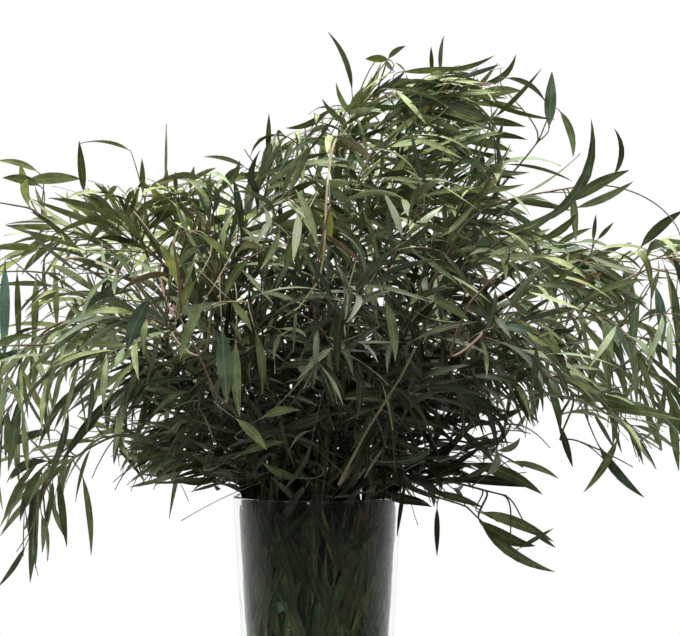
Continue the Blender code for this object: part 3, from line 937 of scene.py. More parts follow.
@dataclass
class LeafShape:
    """The one leaf that all are copied from: a thin lens with a groove, a short stalk and a fine point."""

    stalk_width: float = 0.17
    stalk_thickness: float = 0.13
    tip_thickness: float = 0.8
    blade_thickness: float = 0.050
    groove: float = 0.070
    smooth_degrees: float = 50
    outline: tuple[tuple[float, float], ...] = (
        (0.045, 0.14), (0.090, 0.30), (0.170, 0.62), (0.280, 0.88), (0.420, 1.00),
        (0.570, 0.94), (0.710, 0.74), (0.830, 0.48), (0.920, 0.24), (0.970, 0.10),
    )

    def build(self, skin: bpy.types.Material) -> Pattern:
        """Models the leaf: a small round, extruded station by station and merged to a point.

        Args:
            skin: The leaf's material.

        Returns:
            The leaf, one long and one wide.
        """
        tools, circle = Workshop, bpy.ops.mesh.primitive_circle_add
        size = {"vertices": 4, "radius": 0.5, "rotation": FACING_Y}
        leaf = tools.start("leaf_pattern", circle, fill_type="NGON", **size)
        tools.scale((self.stalk_width, 1, self.stalk_thickness), (0, 0, 0))
        fine = self.stalk_thickness * self.tip_thickness
        width, thickness, reached = self.stalk_width, self.stalk_thickness, 0.0
        for along, wide in self.outline:
            thick = self.blade_thickness if wide > self.stalk_width else fine
            tools.extrude((0, along - reached, 0))
            tools.scale((wide / width, 1, thick / thickness), (0, along, 0))
            width, thickness, reached = wide, thick, along
        tools.extrude((0, 1 - reached, 0))
        bpy.ops.mesh.merge(type="CENTER")
        tools.choose(leaf, "VERT", lambda place, _: abs(place.x) < 1e-4 and 0.1 < place.y < 0.999)
        bpy.ops.transform.translate(value=(0, 0, -self.groove))
        tools.settle(leaf, self.smooth_degrees, skin)
        map_from_shape(leaf, lambda place, way: place.x + 0.5 + (1.001 if way.z < 0 else 0.0))
        bpy.context.scene.collection.objects.unlink(leaf)
        return Pattern(leaf)


@dataclass
class WoodShape:
    """A straight round length of wood with a swelling at each joint, tapered later along its line."""

    name: str
    sides: int
    joints: int
    swelling: float
    steps: tuple[float, ...] = (0.34, 0.80, 0.90, 1.0)
    swollen_step: float = 0.90
    end_edge: float = 0.25
    end_bulge: float = 0.002
    smooth_degrees: float = 60

    def build(self, bark: bpy.types.Material) -> Pattern:
        """Models the wood: a round, extruded joint by joint, with a rounded end.

        Args:
            bark: The wood's material.

        Returns:
            The wood, one long and two across.
        """
        tools, circle = Workshop, bpy.ops.mesh.primitive_circle_add
        size = {"vertices": self.sides, "radius": 1.0, "rotation": FACING_Y}
        wood = tools.start(self.name, circle, fill_type="NGON", **size)
        reached, girth = 0.0, 1.0
        for joint in range(self.joints):
            for step in self.steps:
                along = (joint + step) / self.joints
                wide = 1.0 + (self.swelling if step == self.swollen_step else 0.0)
                tools.extrude((0, along - reached, 0))
                tools.scale((wide / girth, 1, wide / girth), (0, along, 0))
                reached, girth = along, wide
        bpy.ops.mesh.inset(thickness=self.end_edge)
        bpy.ops.transform.translate(value=(0, self.end_bulge, 0))
        tools.settle(wood, self.smooth_degrees, bark)
        map_from_shape(wood, lambda place, _: 0.5 + math.atan2(place.z, place.x) / math.tau)
        bpy.context.scene.collection.objects.unlink(wood)
        return Pattern(wood)


@dataclass
class Patterns:
    """The three shapes that the bunch is copied from."""

    leaf: Pattern
    twig: Pattern
    stem: Pattern


def clear_of_glass(points: np.ndarray) -> bool:
    """Tells whether a leaf or twig passes through neither the vase's wall nor its floor.

    Args:
        points: The points of its middle line.

    Returns:
        True where it stays on one side of the glass.
    """
    low = points[points[:, 2] < VASE_HEIGHT + GLASS_CLEARANCE]
    if not len(low):
        return True
    across = np.hypot(low[:, 0], low[:, 1])
    outer = outer_radius(low[:, 2])
    inside = across < outer - VASE_WALL - GLASS_CLEARANCE
    outside = across > outer + GLASS_CLEARANCE
    if inside.any() and outside.any():
        return False
    if inside.all():
        return bool(low[:, 2].min() > VASE_FLOOR + GLASS_CLEARANCE and across.min() > FREE_MIDDLE)
    return bool(outside.all() and low[:, 2].min() > GLASS_CLEARANCE)


def seen_at(points: np.ndarray) -> np.ndarray:
    """Where points show in the photograph.

    Args:
        points: One row of three metres for each point.

    Returns:
        One row of pixels, across and down, for each point.
    """
    away = (points[:, 1] - CAMERA[1]) / -CAMERA[1]
    across = CAMERA[0] + (points[:, 0] - CAMERA[0]) / away
    upward = CAMERA[2] + (points[:, 2] - CAMERA[2]) / away
    return np.stack((PHOTO_AXIS + across / PIXEL, PHOTO_RIM - (upward - VASE_HEIGHT) / PIXEL), axis=1)


def nearest_to(line: Line, pixel: Pixel) -> int:
    """The number of the line's point that shows nearest to a pixel of the photograph."""
    return int(np.argmin(np.linalg.norm(seen_at(line.points) - np.array(pixel), axis=1)))


def placed_at(pixel: Pixel, depth: float) -> np.ndarray:
    """The point at a depth that shows at a pixel of the photograph.

    Args:
        pixel: The pixel.
        depth: The point's Y.

    Returns:
        The point.
    """
    away = (depth - CAMERA[1]) / -CAMERA[1]
    across = CAMERA[0] + ((pixel[0] - PHOTO_AXIS) * PIXEL - CAMERA[0]) * away
    upward = CAMERA[2] + (VASE_HEIGHT + (PHOTO_RIM - pixel[1]) * PIXEL - CAMERA[2]) * away
    return np.array((across, depth, upward))


def glass_depth(pixel: Pixel) -> float:
    """How deep the inside of the vase's front wall is where it shows at a pixel of the photograph.

    Args:
        pixel: The pixel.

    Returns:
        The Y of the middle of a leaf that is pressed against it.
    """
    height = VASE_HEIGHT + (PHOTO_RIM - pixel[1]) * PIXEL
    inside = outer_radius(height) - VASE_WALL - GLASS_CLEARANCE - PRESSED_LEAF
    return -math.sqrt(max(inside**2 - ((pixel[0] - PHOTO_AXIS) * PIXEL) ** 2, 0.0))


def in_outline(points: np.ndarray, swell: float) -> bool:
    """Tells whether points show inside the bunch's outline.

    Args:
        points: One row of three metres for each point.
        swell: The factor that the outline is swollen by first.

    Returns:
        True where all of them do.
    """
    corners = MIDDLE_OF_OUTLINE + (np.array(OUTLINE, dtype=float) - MIDDLE_OF_OUTLINE) * swell
    following = np.roll(corners, -1, axis=0)
    for across, down in seen_at(points):
        crossing = (corners[:, 1] > down) != (following[:, 1] > down)
        start, stop = corners[crossing], following[crossing]
        at = start[:, 0] + (down - start[:, 1]) * (stop[:, 0] - start[:, 0]) / (stop[:, 1] - start[:, 1])
        if not np.count_nonzero(at > across) % 2:
            return False
    return True


def inside_vase(point: np.ndarray) -> bool:
    """Tells whether a point is in the vase."""
    return bool(point[2] < VASE_HEIGHT and math.hypot(point[0], point[1]) < outer_radius(point[2]))


def in_box(points: np.ndarray) -> bool:
    """Tells whether points lie in the whole object's box, give or take a small margin."""
    low, high = (np.array(corner) for corner in CAD_BOX)
    return bool((points > low - BOX_MARGIN).all() and (points < high + BOX_MARGIN).all())


@dataclass
class Sprig:
    """Twigs and leaves gathered for one piece, with the chance that places them."""

    patterns: Patterns
    growth: Growth
    tone: Tone
    chance: random.Random
    parts: list[bpy.types.Object] = field(default_factory=list)
    tally: Counter = field(default_factory=Counter)
    tries: int = 8
    leaf_gap: float = 0.0085
    strays: float = 0.01
    nearer: float = 0.006
    slope: float = 0.7
    # The least share of light that painted shade leaves deep in the bunch
    least_painted_light: float = 0.08
    golden: float = math.radians(152)
    leaf_lean: Range = (0.3, 1.0)
    leaf_turn: float = 1.5
    near_upright: float = 0.96
    young_shorter: float = 0.30
    young_narrower: float = 0.22
    twig_lean: Range = (0.3, 0.8)
    twig_angle: Range = (0.45, 1.15)
    twig_length: Range = (0.8, 1.2)
    sunk: float = 0.6
    twig_leaves: Range = (0.14, 0.97)
    least_share: float = 0.12
    shortest_link: float = 0.002
    pull: float = 0.35

    def tint(self, young: float, place: np.ndarray) -> np.ndarray:
        """A leaf's tint shares, round its shoot's own tone, darker where it is old, with painted shade deep
        in the bunch.

        Args:
            young: From 0 at the shoot's foot to 1 at its tip.
            place: The middle of the leaf.

        Returns:
            Light, blue, yellow and red.
        """
        tone, chance = self.tone, self.chance
        # Painted shade: every share falls towards the dark leaf colour deep in the bunch
        painted_light = self.painted_light(place)
        light = (tone.light * chance.uniform(*LIGHT_RANGE) ** LIGHT_CURVE + TIP_LIGHT * young) * painted_light
        blue = tone.blue * chance.uniform(*BLUE_RANGE) * painted_light
        yellow = tone.yellow * chance.uniform(*YELLOW_RANGE) * (0.5 + young) * painted_light
        red = MOST_RED * chance.random() * painted_light if chance.random() < tone.red * (1 + 2 * young) else 0.0
        red = max(red, tone.red) if tone.red > 0.5 else red
        return np.clip((light, blue, yellow, red), 0.0, 1.0)

    def painted_light(self, place: np.ndarray) -> float:
        """How much light the painted shade leaves in colours at a place.

        Args:
            place: The place.

        Returns:
            From the least painted light in the heart of the bunch, where painted shade is deepest, to 1
            outside it.
        """
        outer = float(np.linalg.norm((place - PAINTED_SHADE_HEART) / PAINTED_SHADE_REACH))
        share = min(max((outer - PAINTED_SHADE_EDGE) / PAINTED_SHADE_FADE, 0.0), 1.0)
        return self.least_painted_light + (1 - self.least_painted_light) * share

    def add_wood(self, line: Line, foot: float, end: float, tints: tuple[float, float]) -> None:
        """Adds a twig along a line.

        Args:
            line: Its middle line.
            foot: Its radius at the foot.
            end: Its radius at the end.
            tints: Its age and redness.
        """
        pattern = self.patterns.twig
        radius = foot + (end - foot) * pattern.stations
        places = pattern.bent(line, any_side(line.ahead(0.0)[0]), 0.0, radius)
        # The tint's third share is the painted shade where the twig's middle lies
        self.parts.append(pattern.copy_to(places, np.array((*tints, 1 - self.painted_light(line.at(0.5)[0]), 0.0))))

    def add_twig(self, line: Line, girths: Range, age: float, reddest: float) -> None:
        """Adds a fine twig.

        Args:
            line: Its middle line.
            girths: Its radius at the foot and the end, as shares of TWIG_END_RADIUS.
            age: Its age.
            reddest: The most redness that chance may give it.
        """
        foot, end = (TWIG_END_RADIUS * girth for girth in girths)
        self.add_wood(line, foot, end, (age, self.chance.uniform(0.0, reddest)))

    def add_leaf(self, root: np.ndarray, ahead: np.ndarray, side: np.ndarray, young: float) -> None:
        """Adds a leaf that leaves the twig between the way ahead and the side, where there is room for it.

        Args:
            root: Where it leaves the twig.
            ahead: The twig's direction there.
            side: The side it grows to.
            young: From 0 for a grown leaf to 1 for one at the very tip.
        """
        growth, chance = self.growth, self.chance
        for _ in range(self.tries):
            spread = chance.uniform(*growth.spread)
            leaving = unit(ahead * math.cos(spread) + side * math.sin(spread))
            leaving = unit(leaving + np.array(growth.lean) * chance.uniform(*self.leaf_lean))
            length = chance.uniform(*growth.length) * (1 - self.young_shorter * young * chance.random())
            width = chance.uniform(*growth.width) * (1 - self.young_narrower * young)
            upright = abs(leaving[2]) > self.near_upright
            sideways = any_side(leaving) if upright else unit(np.cross(leaving, UP))
            bow = turned(sideways, leaving, chance.uniform(-math.pi, math.pi))
            bend = -UP * chance.uniform(*growth.droop) + bow * chance.gauss(0.0, growth.bow)
            line = Line.grown(root, leaving, bend, length, 10)
            if self.has_room(line):
                side = turned(sideways, leaving, chance.uniform(-self.leaf_turn, self.leaf_turn))
                self.copy_leaf(line, side, width, young)
                return

    def has_room(self, line: Line) -> bool:
        """Tells whether a leaf or twig keeps clear of the glass and, but for a few strays, to the outline.

        Args:
            line: Its middle line.

        Returns:
            True where it does.
        """
        if not (clear_of_glass(line.points) and in_box(line.points)):
            return False
        if inside_vase(line.points[0]) or self.chance.random() < self.strays:
            return True
        return in_outline(line.points[JUDGED], self.chance.gauss(*OUTLINE_SWELL))

    def copy_leaf(
        self, line: Line, side: np.ndarray, width: float, young: float, twist: float = 0.9
    ) -> None:
        """Copies the leaf along a line.

        Args:
            line: Its middle line.
            side: The way its width lies at its root.
            width: Its greatest width.
            young: From 0 for a grown leaf to 1 for one at the very tip.
            twist: The furthest that it turns by its tip.
        """
        pattern = self.patterns.leaf
        factor = np.full(len(pattern.stations), width)
        places = pattern.bent(line, side, self.chance.uniform(-1, 1) * twist, factor)
        self.parts.append(pattern.copy_to(places, self.tint(young, line.at(0.5)[0])))
        self.tally["leaves"] += 1

    def depth_before(self, line: Line, pixel: Pixel) -> float:
        """The Y just in front of a line of wood, where it passes nearest to a pixel."""
        return float(line.points[nearest_to(line, pixel)][1]) - self.nearer

    def link_to(
        self, line: Line, pixel: Pixel, depth: float, onward: np.ndarray | None = None
    ) -> Line | None:
        """The fine twig that links a line of wood to a pixel, sloping forward.

        Args:
            line: The wood.
            pixel: Where the link ends.
            depth: The Y where it ends.
            onward: The way that what it carries goes on, or nothing for straight ahead.

        Returns:
            The link, or nothing where the wood passes the pixel.
        """
        nearest = nearest_to(line, pixel)
        forward = abs(float(line.points[nearest][1]) - depth)
        start = max(float(line.lengths[nearest]) - self.slope * forward, self.least_share * line.total)
        share = start / line.total
        base, ahead = line.at(share)[0], line.ahead(share)[0]
        end = placed_at(pixel, depth)
        reach = float(np.linalg.norm(end - base))
        if reach < self.shortest_link:
            return None
        onward = unit(end - base) if onward is None else onward
        return Line.arch(base, base + ahead * reach * self.pull, end - onward * reach * self.pull, end, 18)

    def add_leaves(self, line: Line, first: float, last: float, radius: float, young: float) -> None:
        """Adds leaves by turns along a line of wood.

        Args:
            line: The wood's middle line.
            first: The share of its length where they start.
            last: The share where they end.
            radius: The wood's radius there.
            young: How young the last leaves are.
        """
        count = max(2, round((last - first) * line.total / self.leaf_gap))
        turn = self.chance.uniform(0, math.tau)
        side = any_side(line.ahead(first)[0])
        for number in range(count):
            share = first + (last - first) * (number + self.chance.uniform(-0.3, 0.3)) / max(count - 1, 1)
            share = min(max(share, 0.0), 1.0)
            ahead = line.ahead(share)[0]
            side = squared(side, ahead)
            turn += self.golden + self.chance.gauss(0, 0.35)
            way = turned(side, ahead, turn)
            self.add_leaf(line.at(share)[0] + way * radius * self.sunk, ahead, way, young * share)

    def side_twig(self, line: Line, share: float, length: float, turn: float, age: float) -> None:
        """Adds a side twig with its own leaves.

        Args:
            line: The wood that carries it.
            share: Where along that wood it leaves.
            length: Its length.
            turn: The side it leaves to, as an angle round the wood.
            age: The age of its bark, from 0 to 1.
        """
        chance, growth = self.chance, self.growth
        root = line.at(share)[0]
        ahead = line.ahead(share)[0]
        for _ in range(self.tries):
            way = turned(any_side(ahead), ahead, turn + chance.gauss(0, 0.4))
            angle = chance.uniform(*self.twig_angle)
            leaving = unit(ahead * math.cos(angle) + way * math.sin(angle))
            leaving = unit(leaving + np.array(growth.lean) * chance.uniform(*self.twig_lean))
            bend = -UP * chance.uniform(0.1, 0.3 + growth.droop[1] * 0.5) + way * chance.gauss(0, 0.25)
            twig = Line.grown(root, leaving, bend, length * chance.uniform(*self.twig_length), 12)
            if self.has_room(twig):
                break
        else:
            return
        self.add_twig(twig, (1.15, 0.6), age, 0.5)
        self.add_leaves(twig, *self.twig_leaves, TWIG_END_RADIUS, 1.0)
        self.add_leaf(twig.points[-1], twig.ahead(1.0)[0], any_side(twig.ahead(1.0)[0]), 1.0)

    def joined(self, name: str) -> bpy.types.Object:
        """Joins all parts into one piece.

        Args:
            name: The piece's name.

        Returns:
            The piece, at the origin.
        """
        Workshop.clear_selection()
        for part in self.parts:
            part.select_set(True)
        piece = self.parts[0]
        bpy.context.view_layer.objects.active = piece
        bpy.ops.object.join()
        piece.name = name
        piece.data.name = name
        piece.select_set(False)
        return piece


@dataclass(frozen=True)
class ClearLeaf:
    """A leaf that the photograph shows clearly, in its pixels: root, tip, bow to the right, and width."""

    root: Pixel
    tip: Pixel
    bow: float = 0.0
    width: float = 6.0
    shade: Shade = Shade.DULL
    depth: float | None = None

    @property
    def in_vase(self) -> bool:
        """Tells whether it shows through the front of the vase, pressed against the glass."""
        left, right = VASE_SIDES_IN_PHOTO
        return self.depth is None and left < self.root[0] < right and self.root[1] > RIM_FRONT_IN_PHOTO

    def grow(self, sprig: Sprig, line: Line) -> None:
        """Adds the leaf where the photograph has it, on a fine twig from a shoot's own.

        Args:
            sprig: Gathers the shoot's parts.
            line: The shoot's twig.
        """
        if self.in_vase:
            depths = glass_depth(self.root), glass_depth(self.tip)
        else:
            depth = sprig.depth_before(line, self.root) if self.depth is None else self.depth
            depths = depth, depth - TIP_NEARER
        root, tip = placed_at(self.root, depths[0]), placed_at(self.tip, depths[1])
        across = np.array((self.tip[0] - self.root[0], self.tip[1] - self.root[1])) * PIXEL
        aside = np.array((-across[1], 0.0, -across[0])) / max(float(np.hypot(*across)), 1e-6)
        blade = Line.bowed(root, tip, aside * self.bow * PIXEL * PULL_OF_BOW, 14)
        if not (clear_of_glass(blade.points) and in_box(blade.points)):
            LOG.warning("no room for the clear leaf at %s", self.root)
            return
        link = sprig.link_to(line, self.root, depths[0], blade.ahead(0.0)[0])
        if link is not None and clear_of_glass(link.points):
            sprig.add_twig(link, (1.1, 0.7), 0.3, 0.4)
        # Painted shade leaves this leaf at least this much light: most in front, less where pressed against
        # the glass
        in_front = CLEAR_LEAF_PAINTED_LIGHT if self.depth is not None else sprig.least_painted_light
        least = PRESSED_LEAF_PAINTED_LIGHT if self.in_vase else in_front
        side = unit(np.cross(blade.ahead(0.5)[0], CAMERA - root))
        alike = replace(sprig, tone=self.shade.value, least_painted_light=least)
        alike.copy_leaf(blade, side, self.width * PIXEL * CLEAR_LEAF_WIDER, 0.5, 0.4)


@dataclass(frozen=True)
class ClearTwig:
    """A bare twig that the photograph shows clearly: the pixels it passes, its age and its redness."""

    passes: tuple[Pixel, ...]
    age: float = 0.4
    red: float = 0.3
    radius: float = 0.0012
    depth: float | None = None
    forward: float = 0.0

    @property
    def root(self) -> Pixel:
        """The first pixel that it passes."""
        return self.passes[0]

    def grow(self, sprig: Sprig, line: Line) -> None:
        """Adds the twig where the photograph has it, as one with its link to a shoot's own.

        Args:
            sprig: Gathers the shoot's parts.
            line: The shoot's twig.
        """
        depth = sprig.depth_before(line, self.root) if self.depth is None else self.depth
        steps = len(self.passes) - 1
        depths = [depth - self.forward * number / steps for number in range(steps + 1)]
        places = np.array([placed_at(pixel, behind) for pixel, behind in zip(self.passes, depths)])
        link = sprig.link_to(line, self.root, depth, unit(places[1] - places[0]))
        if link is not None:
            places = np.vstack((link.points[:-1], places))
        wood = Line(places)
        if not clear_of_glass(wood.points):
            LOG.warning("no room for the clear twig at %s", self.root)
            return
        even = Line(wood.at(np.linspace(0, 1, TWIG_STEPS)))
        # Painted shade leaves the twig at least this much light
        alike = replace(sprig, least_painted_light=CLEAR_TWIG_PAINTED_LIGHT)
        alike.add_wood(even, self.radius, self.radius * 0.6, (self.age, self.red))


@dataclass(frozen=True)
class ClearSprig:
    """A leafy side twig that fills a place in the photograph: the pixels it runs between, habit and shade."""

    root: Pixel
    tip: Pixel
    habit: Habit = Habit.SPREADING
    shade: Shade = Shade.DULL
    rise: float = 0.2

    def grow(self, sprig: Sprig, line: Line) -> None:
        """Adds the side twig with its leaves and its own side twigs.

        Args:
            sprig: Gathers the shoot's parts.
            line: The shoot's twig.
        """
        chance = sprig.chance
        depth = sprig.depth_before(line, self.root)
        link = sprig.link_to(line, self.root, depth)
        root, tip = placed_at(self.root, depth), placed_at(self.tip, depth - chance.uniform(*SPRIG_FORWARD))
        twig = Line.bowed(root, tip, UP * self.rise * float(np.linalg.norm(tip - root)), 16)
        if not (clear_of_glass(twig.points) and in_box(twig.points)):
            LOG.warning("no room for the clear sprig at %s", self.root)
            return
        if link is not None:
            sprig.add_twig(link, (1.4, 1.1), 0.4, 0.4)
        sprig.add_twig(twig, (1.1, 0.6), 0.3, 0.5)
        leafy = replace(sprig, growth=self.habit.value, tone=self.shade.value)
        leafy.add_leaves(twig, 0.0, 1.0, TWIG_END_RADIUS, 0.7)
        for share in SPRIG_TWIG_SHARES:
            leafy.side_twig(twig, share, chance.uniform(*SPRIG_TWIG_LENGTH), chance.uniform(0, math.tau), 0.2)


# Root, tip, habit, shade, rise
CLEAR_SPRIGS = tuple(ClearSprig(*row) for row in (
    # Top of the crown
    ((350, 122), (405, 84), Habit.STREAMING, Shade.GREY),
    ((385, 118), (450, 78), Habit.STREAMING),
    ((415, 125), (490, 86), Habit.STREAMING, Shade.GREY),
    ((360, 150), (420, 108), Habit.STREAMING, Shade.GREY),
    ((350, 195), (385, 150), Habit.STREAMING, Shade.GREY),
    ((355, 245), (392, 195), Habit.STREAMING),
    ((392, 262), (424, 212), Habit.SPREADING),
    ((402, 238), (446, 206), Habit.SPREADING, Shade.GREY),
    # Left side of the crown
    ((318, 165), (350, 112), Habit.HANGING, Shade.GREY),
    ((290, 190), (318, 128), Habit.HANGING, Shade.GREY),
    ((262, 205), (285, 146), Habit.HANGING, Shade.GREY),
    ((240, 245), (262, 172), Habit.UPRIGHT),
    ((262, 250), (296, 190), Habit.HANGING),
    ((300, 250), (330, 190), Habit.HANGING),
    # Top of the left wing
    ((208, 238), (228, 176), Habit.UPRIGHT, Shade.GREY),
    ((172, 232), (188, 184), Habit.UPRIGHT, Shade.FRESH),
    ((140, 232), (150, 184), Habit.UPRIGHT, Shade.FRESH),
    ((215, 275), (245, 225), Habit.SPREADING),
    ((175, 275), (205, 225), Habit.SPREADING, Shade.FRESH),
    ((130, 275), (150, 225), Habit.SPREADING, Shade.FRESH),
    ((150, 325), (128, 275), Habit.SWEEPING_LEFT, Shade.GREY),
    # Far right
    ((610, 372), (688, 398), Habit.HANGING, Shade.GREY),
    ((560, 262), (600, 272), Habit.SPREADING, Shade.DULL),
    ((646, 262), (694, 270), Habit.HANGING, Shade.GREY),
    ((505, 425), (550, 448), Habit.HANGING, Shade.DULL),
    ((560, 415), (640, 432), Habit.HANGING, Shade.GREY),
    ((560, 440), (606, 462), Habit.HANGING, Shade.DULL),
    ((632, 262), (690, 246), Habit.SWEEPING_RIGHT, Shade.GREY),
    ((640, 322), (694, 322), Habit.HANGING, Shade.GREY),
    # The dark middle, darkened with painted shade
    ((300, 425), (330, 350), Habit.SPREADING, Shade.DEEP),
    ((345, 435), (388, 370), Habit.SPREADING, Shade.DEEP),
    ((278, 405), (290, 340), Habit.SPREADING, Shade.DEEP),
    ((400, 425), (432, 370), Habit.SPREADING, Shade.DEEP),
    ((345, 350), (352, 290), Habit.SPREADING, Shade.DEEP),
    ((300, 330), (285, 275), Habit.SPREADING, Shade.DEEP),
    # Top of the far left, and the lower left
    ((150, 262), (124, 214), Habit.UPRIGHT, Shade.FRESH),
    ((50, 462), (32, 492), Habit.HANGING, Shade.GREY),
    ((128, 430), (92, 478), Habit.HANGING, Shade.GREY),
    ((20, 395), (-8, 455), Habit.HANGING, Shade.GREY),
    ((262, 474), (222, 484), Habit.SWEEPING_LEFT, Shade.DEEP, 0.1),
    # Right of the rim
    ((385, 478), (440, 492), Habit.SWEEPING_RIGHT, Shade.DEEP, 0.1),
    ((400, 468), (446, 470), Habit.SWEEPING_RIGHT, Shade.DEEP, 0.1),
))

